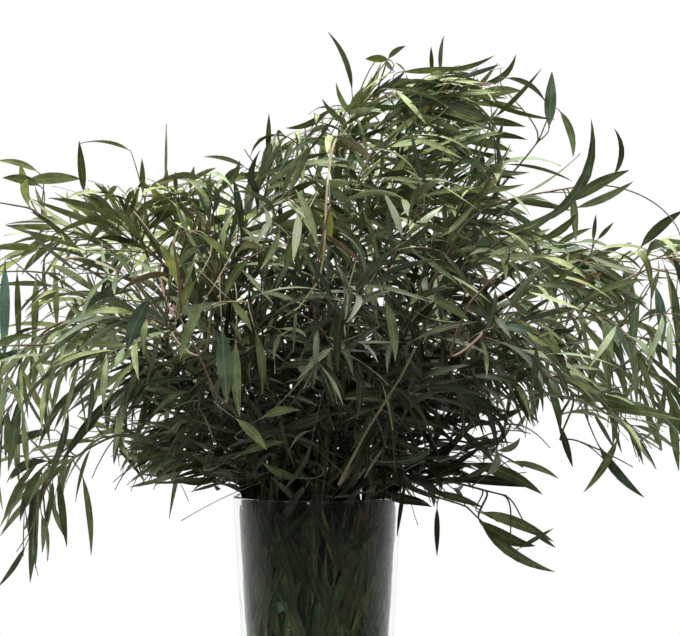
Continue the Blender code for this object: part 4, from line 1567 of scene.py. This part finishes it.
# Root, tip, bow, width, shade, depth
CLEAR_LEAVES = tuple(ClearLeaf(*row) for row in (
    # Crown
    ((352, 92), (327, 31), 6, 5),
    ((389, 60), (365, 59), 1, 7, Shade.YELLOW),
    ((388, 59), (406, 46), -2, 5),
    ((386, 60), (394, 71), 1, 4),
    ((432, 74), (431, 46), 0, 4),
    ((441, 74), (444, 35), -2, 4),
    ((400, 72), (470, 68), 0, 6, Shade.GREY),
    ((436, 70), (495, 55), 5, 5),
    ((452, 110), (498, 62), 3, 5),
    ((480, 84), (516, 54), 9, 6, Shade.DEEP),
    ((505, 78), (546, 103), -7, 5),
    ((474, 97), (522, 91), -3, 10, Shade.PALE),
    ((549, 128), (552, 71), 0, 11, Shade.TEAL),
    ((559, 110), (573, 158), -5, 7, Shade.GREY),
    ((470, 104), (524, 110), -3, 6),
    ((472, 120), (526, 127), -2, 8),
    ((460, 140), (513, 152), -3, 9),
    ((474, 152), (520, 162), 0, 5),
    ((470, 176), (517, 179), -3, 6),
    ((455, 188), (525, 184), 4, 6, Shade.GREY),
    ((468, 200), (512, 204), -2, 7),
    ((420, 86), (470, 92), -3, 6, Shade.GREY),
    ((395, 96), (440, 80), 3, 6),
    ((370, 110), (392, 78), -3, 5),
    ((350, 124), (322, 98), -4, 5),
    ((356, 118), (336, 82), -4, 5, Shade.GREY),
    ((478, 136), (528, 140), -3, 6),
    ((486, 168), (530, 172), 3, 5),
    # Crown, its pale hanging left side
    ((305, 128), (289, 192), -6, 7, Shade.PALE),
    ((322, 122), (311, 188), -6, 7, Shade.PALE),
    ((338, 128), (331, 202), -5, 7, Shade.GREY),
    ((300, 182), (297, 242), -4, 7, Shade.PALE),
    ((352, 120), (345, 180), -4, 6, Shade.GREY),
    ((285, 150), (268, 205), -6, 6, Shade.GREY),
    ((300, 135), (262, 152), -5, 6),
    ((330, 108), (285, 128), -6, 6),
    # Right wing
    ((533, 226), (591, 118), 22, 9),
    ((498, 232), (562, 205), 7, 8, Shade.GREY),
    ((613, 176), (614, 128), 8, 5),
    ((570, 203), (630, 170), -3, 10, Shade.PALE),
    ((575, 208), (634, 181), 3, 7, Shade.GREY),
    ((573, 193), (576, 242), 0, 7),
    ((593, 242), (596, 214), 0, 4),
    ((597, 240), (614, 222), 0, 4),
    ((560, 270), (600, 252), 2, 9, Shade.BROWN),
    ((562, 262), (604, 264), 2, 8, Shade.DEEP),
    ((568, 284), (602, 272), 2, 9, Shade.BROWN),
    ((572, 252), (592, 286), -2, 8, Shade.DEEP),
    ((640, 248), (684, 210), -3, 10, Shade.GREY),
    ((622, 262), (631, 330), -5, 8, Shade.TEAL),
    ((655, 285), (662, 348), -3, 9, Shade.TEAL),
    ((668, 272), (678, 352), -3, 8, Shade.GREY),
    ((640, 300), (633, 374), 4, 8, Shade.TEAL),
    ((610, 268), (606, 334), 3, 7, Shade.GREY),
    ((682, 240), (690, 320), -3, 8, Shade.GREY),
    ((684, 300), (681, 372), 2, 9, Shade.GREY),
    ((545, 380), (560, 434), -4, 7, Shade.GREY),
    ((560, 425), (573, 468), 0, 6),
    ((598, 444), (645, 498), 4, 8),
    ((618, 438), (583, 493), -3, 7),
    ((575, 396), (642, 412), -4, 8, Shade.GREY),
    ((600, 408), (684, 420), -3, 9, Shade.GREY),
    ((670, 402), (679, 472), 0, 8),
    ((644, 412), (662, 452), -2, 7),
    # Right of the rim
    ((416, 487), (476, 463), -4, 9),
    ((467, 464), (543, 495), -6, 11),
    ((448, 479), (538, 488), -3, 9, Shade.GREY),
    ((430, 492), (484, 508), -2, 7),
    ((478, 512), (554, 542), -4, 10, Shade.FRESH),
    ((480, 520), (536, 546), 5, 11, Shade.FRESH),
    ((480, 522), (556, 572), 8, 9),
    ((518, 549), (554, 528), 0, 4),
    ((532, 531), (556, 548), 0, 4),
    ((437, 506), (437, 557), 0, 5, Shade.DEEP),
    ((386, 492), (424, 500), 4, 8, Shade.FRESH),
    ((338, 488), (378, 484), -2, 10, Shade.TEAL),
    # Through the glass
    ((364, 540), (358, 503), 0, 10, Shade.BROWN),
    ((306, 548), (311, 499), 0, 12, Shade.SHADED),
    ((318, 552), (306, 500), 0, 10, Shade.DEEP),
    ((346, 606), (354, 545), 2, 8, Shade.GREY),
    ((378, 634), (368, 572), 2, 9, Shade.GREY),
    ((292, 606), (283, 552), 0, 6, Shade.PALE),
    ((256, 560), (252, 503), 0, 5, Shade.PALE),
    ((258, 622), (296, 602), -3, 10, Shade.TEAL),
    ((334, 566), (322, 508), 0, 6, Shade.YELLOW),
    ((300, 560), (312, 520), 2, 8, Shade.DULL),
    ((272, 590), (266, 530), 0, 7, Shade.DULL),
    ((322, 632), (334, 580), 3, 9, Shade.TEAL),
    # Against the glass at its right and left sides
    ((386, 560), (389, 505), 0, 7, Shade.SHADED),
    ((384, 620), (387, 556), 0, 7, Shade.DULL),
    ((380, 600), (388, 540), 0, 7, Shade.SHADED),
    ((249, 556), (245, 504), 0, 7, Shade.SHADED),
    ((252, 616), (248, 552), 0, 7, Shade.DULL),
    # Fresh leaves in front
    ((250, 258), (224, 300), 4, 7, Shade.YELLOW, -0.235),
    ((196, 280), (176, 322), 3, 7, Shade.FRESH, -0.240),
    ((330, 208), (318, 262), -4, 6, Shade.YELLOW, -0.210),
    ((160, 245), (180, 292), -3, 7, Shade.YELLOW, -0.225),
    ((230, 300), (252, 332), -2, 6, Shade.PALE, -0.250),
    ((300, 225), (285, 275), 3, 6, Shade.FRESH, -0.215),
    ((200, 235), (230, 262), -3, 6, Shade.FRESH, -0.215),
    ((540, 240), (578, 212), 4, 7),
    ((552, 250), (592, 228), -3, 6, Shade.GREY),
    ((392, 500), (432, 507), -3, 8, Shade.DEEP),
    # Left wing
    ((40, 186), (2, 178), 3, 9, Shade.FRESH),
    ((26, 181), (82, 179), -2, 11, Shade.FRESH),
    ((84, 194), (79, 140), 0, 7),
    ((38, 172), (-4, 161), 4, 6, Shade.YELLOW),
    ((20, 163), (29, 208), 0, 8, Shade.YELLOW),
    ((143, 194), (142, 158), 0, 5),
    ((165, 192), (167, 168), 0, 5),
    ((177, 192), (176, 171), -1, 4),
    ((190, 190), (194, 166), 0, 5),
    ((222, 190), (240, 160), 3, 6),
    ((246, 168), (203, 157), 4, 4),
    ((268, 158), (269, 113), 0, 5),
    ((5, 262), (4, 362), 0, 10, Shade.TEAL),
    ((17, 270), (19, 354), 0, 6, Shade.GREY),
    ((36, 275), (34, 352), 0, 7, Shade.GREY),
    ((55, 268), (57, 332), 0, 6),
    ((150, 298), (127, 352), 3, 12, Shade.TEAL, -0.270),
    ((222, 328), (227, 404), 0, 13, Shade.GREY, -0.262),
    ((236, 340), (240, 418), 2, 9, Shade.GREY, -0.262),
    ((236, 419), (267, 450), -2, 8, Shade.PALE, -0.270),
    ((262, 418), (300, 410), -3, 7, Shade.GREY, -0.270),
    ((240, 455), (285, 442), -3, 7, Shade.DULL, -0.250),
    ((205, 300), (180, 360), 3, 8, Shade.GREY, -0.270),
    ((255, 330), (262, 395), -3, 7, Shade.DULL, -0.262),
    ((345, 300), (338, 372), 3, 8, Shade.DULL, -0.262),
    ((385, 300), (395, 362), -3, 8, Shade.DULL, -0.262),
    ((432, 300), (470, 322), -3, 8, Shade.GREY, -0.250),
    ((300, 478), (262, 462), -3, 7, Shade.DULL, -0.200),
    ((395, 462), (432, 448), 3, 7, Shade.DULL, -0.220),
    ((118, 392), (62, 462), 3, 9, Shade.DEEP),
    # Drooping at the lower left
    ((82, 474), (91, 557), -3, 6),
    ((58, 476), (67, 548), 0, 7),
    ((44, 466), (20, 522), 4, 8),
    ((36, 500), (30, 584), 0, 8),
    ((26, 545), (-3, 588), -2, 5),
    ((52, 430), (-4, 452), 3, 8, Shade.GREY),
    ((20, 400), (8, 472), 0, 9, Shade.GREY),
    ((226, 481), (158, 484), 2, 5, Shade.GREY),
))

# Pixels, age, redness, radius, depth, how far its tip comes forward
CLEAR_TWIGS = tuple(ClearTwig(*row) for row in (
    (((347, 468), (370, 425), (399, 381), (416, 347)), 0.0, 0.0, 0.0014, -0.215, 0.075),
    (((325, 228), (324, 268), (312, 300), (286, 316)), 0.0, 0.0, 0.0015, -0.235, 0.030),
    (((72, 246), (52, 222), (30, 208), (-4, 202)), 0.9, 0.0),
    (((60, 274), (25, 271), (-6, 272)), 1.0, 0.0, 0.0010),
    (((75, 340), (40, 345), (-6, 346)), 1.0, 0.0, 0.0010),
    (((208, 340), (212, 302), (248, 302)), 0.0, 0.0, 0.0013, -0.265),
    (((180, 290), (178, 268), (173, 240)), 0.2, 0.9, 0.0015, -0.255),
    (((366, 132), (374, 100), (387, 61)), 0.4, 0.5, 0.0012),
    (((318, 262), (322, 238), (330, 205)), 0.3, 0.9, 0.0013, -0.235),
    (((206, 372), (192, 338), (172, 305)), 0.3, 0.7, 0.0012, -0.262),
    (((452, 345), (468, 305), (498, 272)), 0.3, 0.7, 0.0012, -0.235, 0.02),
    (((590, 300), (612, 286), (650, 268), (684, 276)), 0.3, 0.7),
    (((396, 484), (440, 498), (466, 506), (482, 522)), 0.3, 0.2),
    (((95, 425), (50, 462), (38, 510), (30, 545)), 0.6, 0.3),
))


def show(piece: bpy.types.Object, nodes: Sequence[str] = (), note: str = "") -> None:
    """Lets a piece ride on the object, hides the CAD nodes that it stands for, and reports it.

    Args:
        piece: The finished piece.
        nodes: The CAD nodes that it stands for.
        note: What else to report.
    """
    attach(piece, BODY)
    if nodes:
        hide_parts(*nodes)
    LOG.info("%s: %d faces%s", piece.name, len(piece.data.polygons), note)


@dataclass
class LeafyShoot:
    """A shoot: its twig, its side twigs and all their leaves, grown together."""

    plan: ShootPlan
    number: int
    extras: Sequence[ClearSprig | ClearTwig | ClearLeaf] = ()
    foot_wider: float = 1.1
    leafy: Range = (0.16, 0.98)
    side_twigs_from: float = 0.12
    side_twigs_over: float = 0.76
    side_twigs_share: float = 0.8
    side_twig_gap: float = 0.019
    side_twig_length: Range = (0.040, 0.095)

    def build(self, patterns: Patterns, stem: Line) -> None:
        """Grows the shoot out of its stem.

        Args:
            patterns: The shapes it is copied from.
            stem: The middle line of the stem that carries it.
        """
        plan = self.plan
        chance = random.Random(self.number)
        sprig = Sprig(patterns, plan.habit.value, plan.shade.value, chance)
        line = twig_line(plan, stem)
        foot = TWIG_FOOT_RADIUS * self.foot_wider
        sprig.add_wood(line, foot, TWIG_END_RADIUS, (0.45, chance.uniform(0.0, 0.5)))
        sprig.add_leaves(line, *self.leafy, TWIG_END_RADIUS, 0.8)
        if plan.habit is not Habit.PACKED:
            self.add_side_twigs(sprig, line)
        for extra in self.extras:
            extra.grow(sprig, line)
        piece = sprig.joined(f"foliage_{plan.name}")
        show(piece, (f"shoot_{plan.name}",), f", {sprig.tally['leaves']} leaves")

    def add_side_twigs(self, sprig: Sprig, line: Line) -> None:
        """Adds side twigs by turns along the twig, the longest near its foot.

        Args:
            sprig: Gathers the parts.
            line: The twig's middle line.
        """
        count = max(2, round(line.total * self.side_twigs_share / self.side_twig_gap))
        short, long = self.side_twig_length
        turn = sprig.chance.uniform(0, math.tau)
        for number in range(count):
            share = self.side_twigs_from + self.side_twigs_over * number / count
            length = long + (short - long) * share
            turn += sprig.golden
            sprig.side_twig(line, share, length, turn, 0.3)


@dataclass
class WoodyStem:
    """A main stem, and the leaves and side twigs that it carries itself, in the vase and just above it."""

    plan: StemPlan
    number: int
    side_twigs: int = 10
    side_twigs_to: float = 0.92
    younger_at_end: float = 0.45
    leaves_from: float = 0.04
    leaves_to: float = 0.98
    wall_feet_from: float = 0.05
    wall_feet_over: float = 0.80
    side_twig_length: Range = (0.05, 0.09)
    leaf_gap_in_vase: float = 0.0048
    leaves_at_wall: int = 26
    wall_gap: float = 0.0015
    wall_leaf_length: Range = (0.055, 0.085)
    wall_leaf_width: Range = (0.0055, 0.0085)
    shortest: float = 0.035
    below_rim: float = 0.008
    above_foot: float = 0.006
    to_side: float = 0.32
    slant: float = 0.7

    def build(self, patterns: Patterns, line: Line) -> None:
        """Builds the wood and its leaves as two pieces.

        Args:
            patterns: The shapes they are copied from.
            line: The stem's middle line.
        """
        pattern = patterns.stem
        places = pattern.bent(line, any_side(UP), 0.0, stem_radius(pattern.stations))
        ages = 1.0 - self.younger_at_end * pattern.stations[pattern.station_of]
        tints = np.zeros((len(places), 4))
        tints[:, 0] = ages
        tints[:, 1] = 0.5 * (1.0 - ages)
        wood = pattern.copy_to(places, tints)
        wood.name = f"wood_{self.plan.name}"
        wood.data.name = wood.name
        show(wood, (f"stem_{self.plan.name}",))
        self.dress(patterns, line)

    def dress(self, patterns: Patterns, line: Line) -> None:
        """Adds the leaves in the vase, then the side twigs above the rim, as one piece.

        Args:
            patterns: The shapes they are copied from.
            line: The stem's middle line.
        """
        chance = random.Random(1000 + self.number)
        # Leaves in and just above the vase take the dark DEEP and SHADED tones as painted shade
        spread = Sprig(patterns, Habit.SPREADING.value, Shade.DEEP.value, chance)
        gap = self.leaf_gap_in_vase
        packed = replace(spread, growth=Habit.PACKED.value, tone=Shade.SHADED.value, leaf_gap=gap)
        heights, lengths = line.points[:STEM_FOOT_STEPS, 2], line.lengths[:STEM_FOOT_STEPS]
        rim = float(np.interp(VASE_HEIGHT, heights, lengths)) / line.total
        packed.add_leaves(line, self.leaves_from, rim * self.leaves_to, STEM_FOOT_RADIUS, 0.0)
        self.line_wall(packed, line, rim)
        turn = chance.uniform(0, math.tau)
        for number in range(self.side_twigs):
            share = rim + (self.side_twigs_to - rim) * number / self.side_twigs
            turn += spread.golden
            spread.side_twig(line, share, chance.uniform(*self.side_twig_length), turn, 0.6)
        piece = spread.joined(f"low_leaves_{self.plan.name}")
        show(piece, (), f", {spread.tally['leaves']} leaves")

    def line_wall(self, sprig: Sprig, line: Line, rim: float) -> None:
        """Adds leaves that lie pressed against the inside of the glass, each on a fine twig of this stem.

        Args:
            sprig: Gathers the parts.
            line: The stem's middle line.
            rim: The share of it that is in the vase.
        """
        chance = sprig.chance
        for number in range(self.leaves_at_wall):
            place = number + chance.random()
            share = self.wall_feet_from + self.wall_feet_over * place / self.leaves_at_wall
            foot = line.at(rim * share)[0]
            room = VASE_HEIGHT - self.below_rim - foot[2] - self.above_foot
            length = min(chance.uniform(*self.wall_leaf_length), room)
            if length < self.shortest:
                continue
            shares = np.linspace(0, 1, 9)
            heights = foot[2] + self.above_foot + length * shares
            start = math.atan2(foot[1], foot[0]) + chance.uniform(-self.to_side, self.to_side)
            angles = start + chance.uniform(-self.slant, self.slant) * shares
            radius = outer_radius(heights) - VASE_WALL - self.wall_gap
            blade = Line(np.stack((radius * np.cos(angles), radius * np.sin(angles), heights), axis=1))
            root = blade.points[0]
            link = Line.arch(foot, foot + UP * 0.003, root - blade.ahead(0.0)[0] * 0.003, root, 8)
            sprig.add_wood(link, TWIG_END_RADIUS, TWIG_END_RADIUS * 0.7, (0.5, 0.2))
            tangent = np.array((-math.sin(start), math.cos(start), 0.0))
            sprig.copy_leaf(blade, tangent, chance.uniform(*self.wall_leaf_width), 0.0, 0.2)


@dataclass
class Vase:
    """The glass vase: a tapered cylinder with a thick floor, a rounded rim and a softened foot."""

    sides: int = 96
    edge: float = 0.0025
    inner_edge: float = 0.0040
    rim_edge: float = VASE_WALL * 0.49
    rings: tuple[float, ...] = (0.0040, 0.0065, 0.0195, 0.0215, 0.075, 0.130, 0.190, 0.2464, 0.2474)
    smooth_degrees: float = 35

    def build(self, glass: bpy.types.Material) -> None:
        """Models the vase from a cylinder: widen its top, hollow it, round its edges.

        Args:
            glass: Its material.
        """
        tools, cylinder = Workshop, bpy.ops.mesh.primitive_cylinder_add
        size = {"radius": VASE_FOOT_RADIUS, "depth": VASE_HEIGHT, "location": (0, 0, VASE_HEIGHT / 2)}
        vase = tools.start("vase", cylinder, vertices=self.sides, **size)
        tools.choose(vase, "FACE", lambda _, way: way.z > 0.9)
        widen = VASE_RIM_RADIUS / VASE_FOOT_RADIUS
        tools.scale((widen, widen, 1), (0, 0, VASE_HEIGHT))
        bpy.ops.mesh.inset(thickness=VASE_WALL)
        tools.extrude((0, 0, VASE_FLOOR - VASE_HEIGHT))
        narrow = (outer_radius(VASE_FLOOR) - VASE_WALL) / (VASE_RIM_RADIUS - VASE_WALL)
        tools.scale((narrow, narrow, 1), (0, 0, VASE_FLOOR))
        self.round_off(vase, lambda height: height > VASE_HEIGHT - 1e-4, self.rim_edge)
        self.round_off(vase, lambda height: height < 1e-4, self.edge)
        self.round_off(vase, lambda height: abs(height - VASE_FLOOR) < 1e-4, self.inner_edge)
        for height in self.rings:
            bpy.ops.mesh.select_all(action="SELECT")
            bpy.ops.mesh.bisect(plane_co=(0, 0, height), plane_no=(0, 0, 1))
        tools.settle(vase, self.smooth_degrees, glass)
        show(vase, ("glass_vase",))

    def round_off(self, vase: bpy.types.Object, test: Callable[[float], bool], width: float) -> None:
        """Bevels the ring edges whose heights pass a test."""
        Workshop.choose(vase, "EDGE", lambda place, _: test(place.z) and math.hypot(place.x, place.y) > 0.01)
        bpy.ops.mesh.bevel(offset=width, segments=4, affect="EDGES")


@dataclass
class Studio:
    """A pale round table, soft light all round and the camera at the photograph's angle."""

    floor_radius: float = 0.45
    floor_drop: float = 0.0005
    floor_thickness: float = 0.02
    floor_edge: float = 0.004
    smooth_degrees: float = 35
    view_width: float = 0.612
    sensor: float = 36.0
    lamps_face: Point = (0, 0, 0.38)
    world_light: float = 1.00
    room_light: float = 0.10
    room_to_world: Range = (-0.75, 0.80)
    height_share: float = 0.8
    paper_behind: Range = (0.80, 0.97)

    def build(self) -> None:
        """Makes the floor, the lights and the camera."""
        self.add_floor()
        self.add_world()
        self.add_lamp("key_light", (-1.2, -1.3, 2.1), 1.2, 24.0)
        self.add_lamp("top_light", (0.2, 0.2, 2.4), 1.6, 138.0)
        self.add_camera()

    def add_floor(self) -> None:
        """A thin round table top with a softened edge."""
        tools, circle = Workshop, bpy.ops.mesh.primitive_circle_add
        size = {"vertices": 128, "radius": self.floor_radius, "location": (0, 0, -self.floor_drop)}
        floor = tools.start("floor", circle, fill_type="NGON", **size)
        tools.extrude((0, 0, -self.floor_thickness))
        middle = -self.floor_thickness / 2
        tools.choose(floor, "EDGE", lambda place, way: place.z > middle and abs(way.z) < 0.1)
        bpy.ops.mesh.bevel(offset=self.floor_edge, segments=3, affect="EDGES")
        tools.settle(floor, self.smooth_degrees, FloorFinish().build())

    def add_world(self) -> None:
        """Light that is full behind and above and dim in front, and plain white where the world is seen."""
        world = bpy.data.worlds.new("white_surround")
        bpy.context.scene.world = world
        world.use_nodes = True
        nodes = Tree(world.node_tree)
        facing = nodes.add("ShaderNodeTexCoord").outputs["Generated"]
        way = nodes.feed(nodes.add("ShaderNodeSeparateXYZ"), {0: facing}).outputs
        rays = nodes.add("ShaderNodeLightPath").outputs
        lit = nodes.maths("MULTIPLY_ADD", way["Z"], self.height_share, way["Y"])
        strength = nodes.ramp(lit, *self.room_to_world, self.room_light, self.world_light)
        sky = nodes.feed(nodes.tree.nodes["Background"], {"Color": (1, 1, 1), "Strength": strength})
        paper = nodes.feed(nodes.add("ShaderNodeBackground"), {"Color": (1, 1, 1)})
        unturned = nodes.maths("LESS_THAN", rays["Glossy Depth"], 0.5)
        onward = nodes.maths("MAXIMUM", unturned, nodes.ramp(way["Y"], *self.paper_behind))
        unscattered = nodes.maths("MULTIPLY", nodes.maths("LESS_THAN", rays["Diffuse Depth"], 0.5), onward)
        through = nodes.maths("MULTIPLY", unscattered, rays["Is Transmission Ray"])
        seen = nodes.maths("MAXIMUM", rays["Is Camera Ray"], through)
        either = nodes.add("ShaderNodeMixShader")
        nodes.feed(either, {0: seen, 1: sky.outputs[0], 2: paper.outputs[0]})
        nodes.feed(nodes.tree.nodes["World Output"], {"Surface": either.outputs[0]})
        bpy.context.scene.view_settings.view_transform = "Standard"

    def add_lamp(self, name: str, place: Point, size: float, watts: float) -> None:
        """A square soft lamp that faces the middle of the bunch.

        Args:
            name: Its name.
            place: Where it hangs.
            size: The length of its side.
            watts: Its power.
        """
        lamp = bpy.data.lights.new(name, "AREA")
        lamp.shape = "SQUARE"
        lamp.size = size
        lamp.energy = watts
        holder = bpy.data.objects.new(name, lamp)
        holder.location = place
        towards = Vector(self.lamps_face) - Vector(place)
        holder.rotation_euler = towards.to_track_quat("-Z", "Y").to_euler()
        bpy.context.scene.collection.objects.link(holder)

    def add_camera(self) -> None:
        """A level camera in front of the bunch, wide enough for the photograph's frame."""
        camera = bpy.data.cameras.new("photo_camera")
        camera.sensor_width = self.sensor
        camera.lens = self.sensor * -CAMERA[1] / self.view_width
        holder = bpy.data.objects.new("photo_camera", camera)
        holder.location = CAMERA
        holder.rotation_euler = FACING_Y
        bpy.context.scene.collection.objects.link(holder)
        bpy.context.scene.camera = holder


@dataclass
class Bunch:
    """All the stems and shoots of the bunch."""

    stems: Sequence[StemPlan] = STEMS
    shoots: Sequence[ShootPlan] = SHOOTS
    back_charge: float = 160.0
    front: float = -0.12

    def build(self, patterns: Patterns) -> None:
        """Grows every stem, then every shoot.

        Args:
            patterns: The shapes they are copied from.
        """
        lines = {plan.name: stem_line(plan) for plan in self.stems}
        for number, plan in enumerate(self.stems):
            WoodyStem(plan, number).build(patterns, lines[plan.name])
        twigs = {plan.name: twig_line(plan, lines[plan.stem]) for plan in self.shoots}
        extras = self.shared_out(twigs)
        for number, plan in enumerate(self.shoots):
            LeafyShoot(plan, number, extras[plan.name]).build(patterns, lines[plan.stem])

    def shared_out(self, twigs: dict[str, Line]) -> dict[str, list]:
        """Gives each clear leaf or twig to the shoot that passes nearest to its root, the front ones first.

        Args:
            twigs: The shoots' lines, by name.

        Returns:
            What each shoot carries, by the shoot's name.
        """
        given: dict[str, list] = {name: [] for name in twigs}
        for item in (*CLEAR_SPRIGS, *CLEAR_TWIGS, *CLEAR_LEAVES):
            in_vase = isinstance(item, ClearLeaf) and item.in_vase
            reached = {name: line for name, line in twigs.items() if name.startswith("vase") == in_vase}
            costs = {name: self.reach_to(line, item.root) for name, line in reached.items()}
            given[min(costs, key=costs.get)].append(item)
        return given

    def reach_to(self, line: Line, pixel: Pixel) -> float:
        """How far a twig passes from a pixel, in pixels, with a charge for being at the back."""
        away = np.linalg.norm(seen_at(line.points) - np.array(pixel), axis=1)
        return float((away + self.back_charge * np.maximum(line.points[:, 1] - self.front, 0)).min())


def main() -> None:
    """Builds the studio, the vase and the bunch, and reports each piece."""
    logging.basicConfig(level=logging.INFO, format="%(message)s")
    Studio().build()
    Vase().build(GlassFinish().build())
    skin = LeafFinish().build()
    bark = BarkFinish().build()
    patterns = Patterns(
        LeafShape().build(skin),
        WoodShape("twig_pattern", 6, 6, 0.16).build(bark),
        WoodShape("stem_pattern", 12, 12, 0.14).build(bark),
    )
    Bunch().build(patterns)
    for pattern in (patterns.leaf, patterns.twig, patterns.stem):
        bpy.data.objects.remove(pattern.source)


if __name__ == "__main__":
    main()
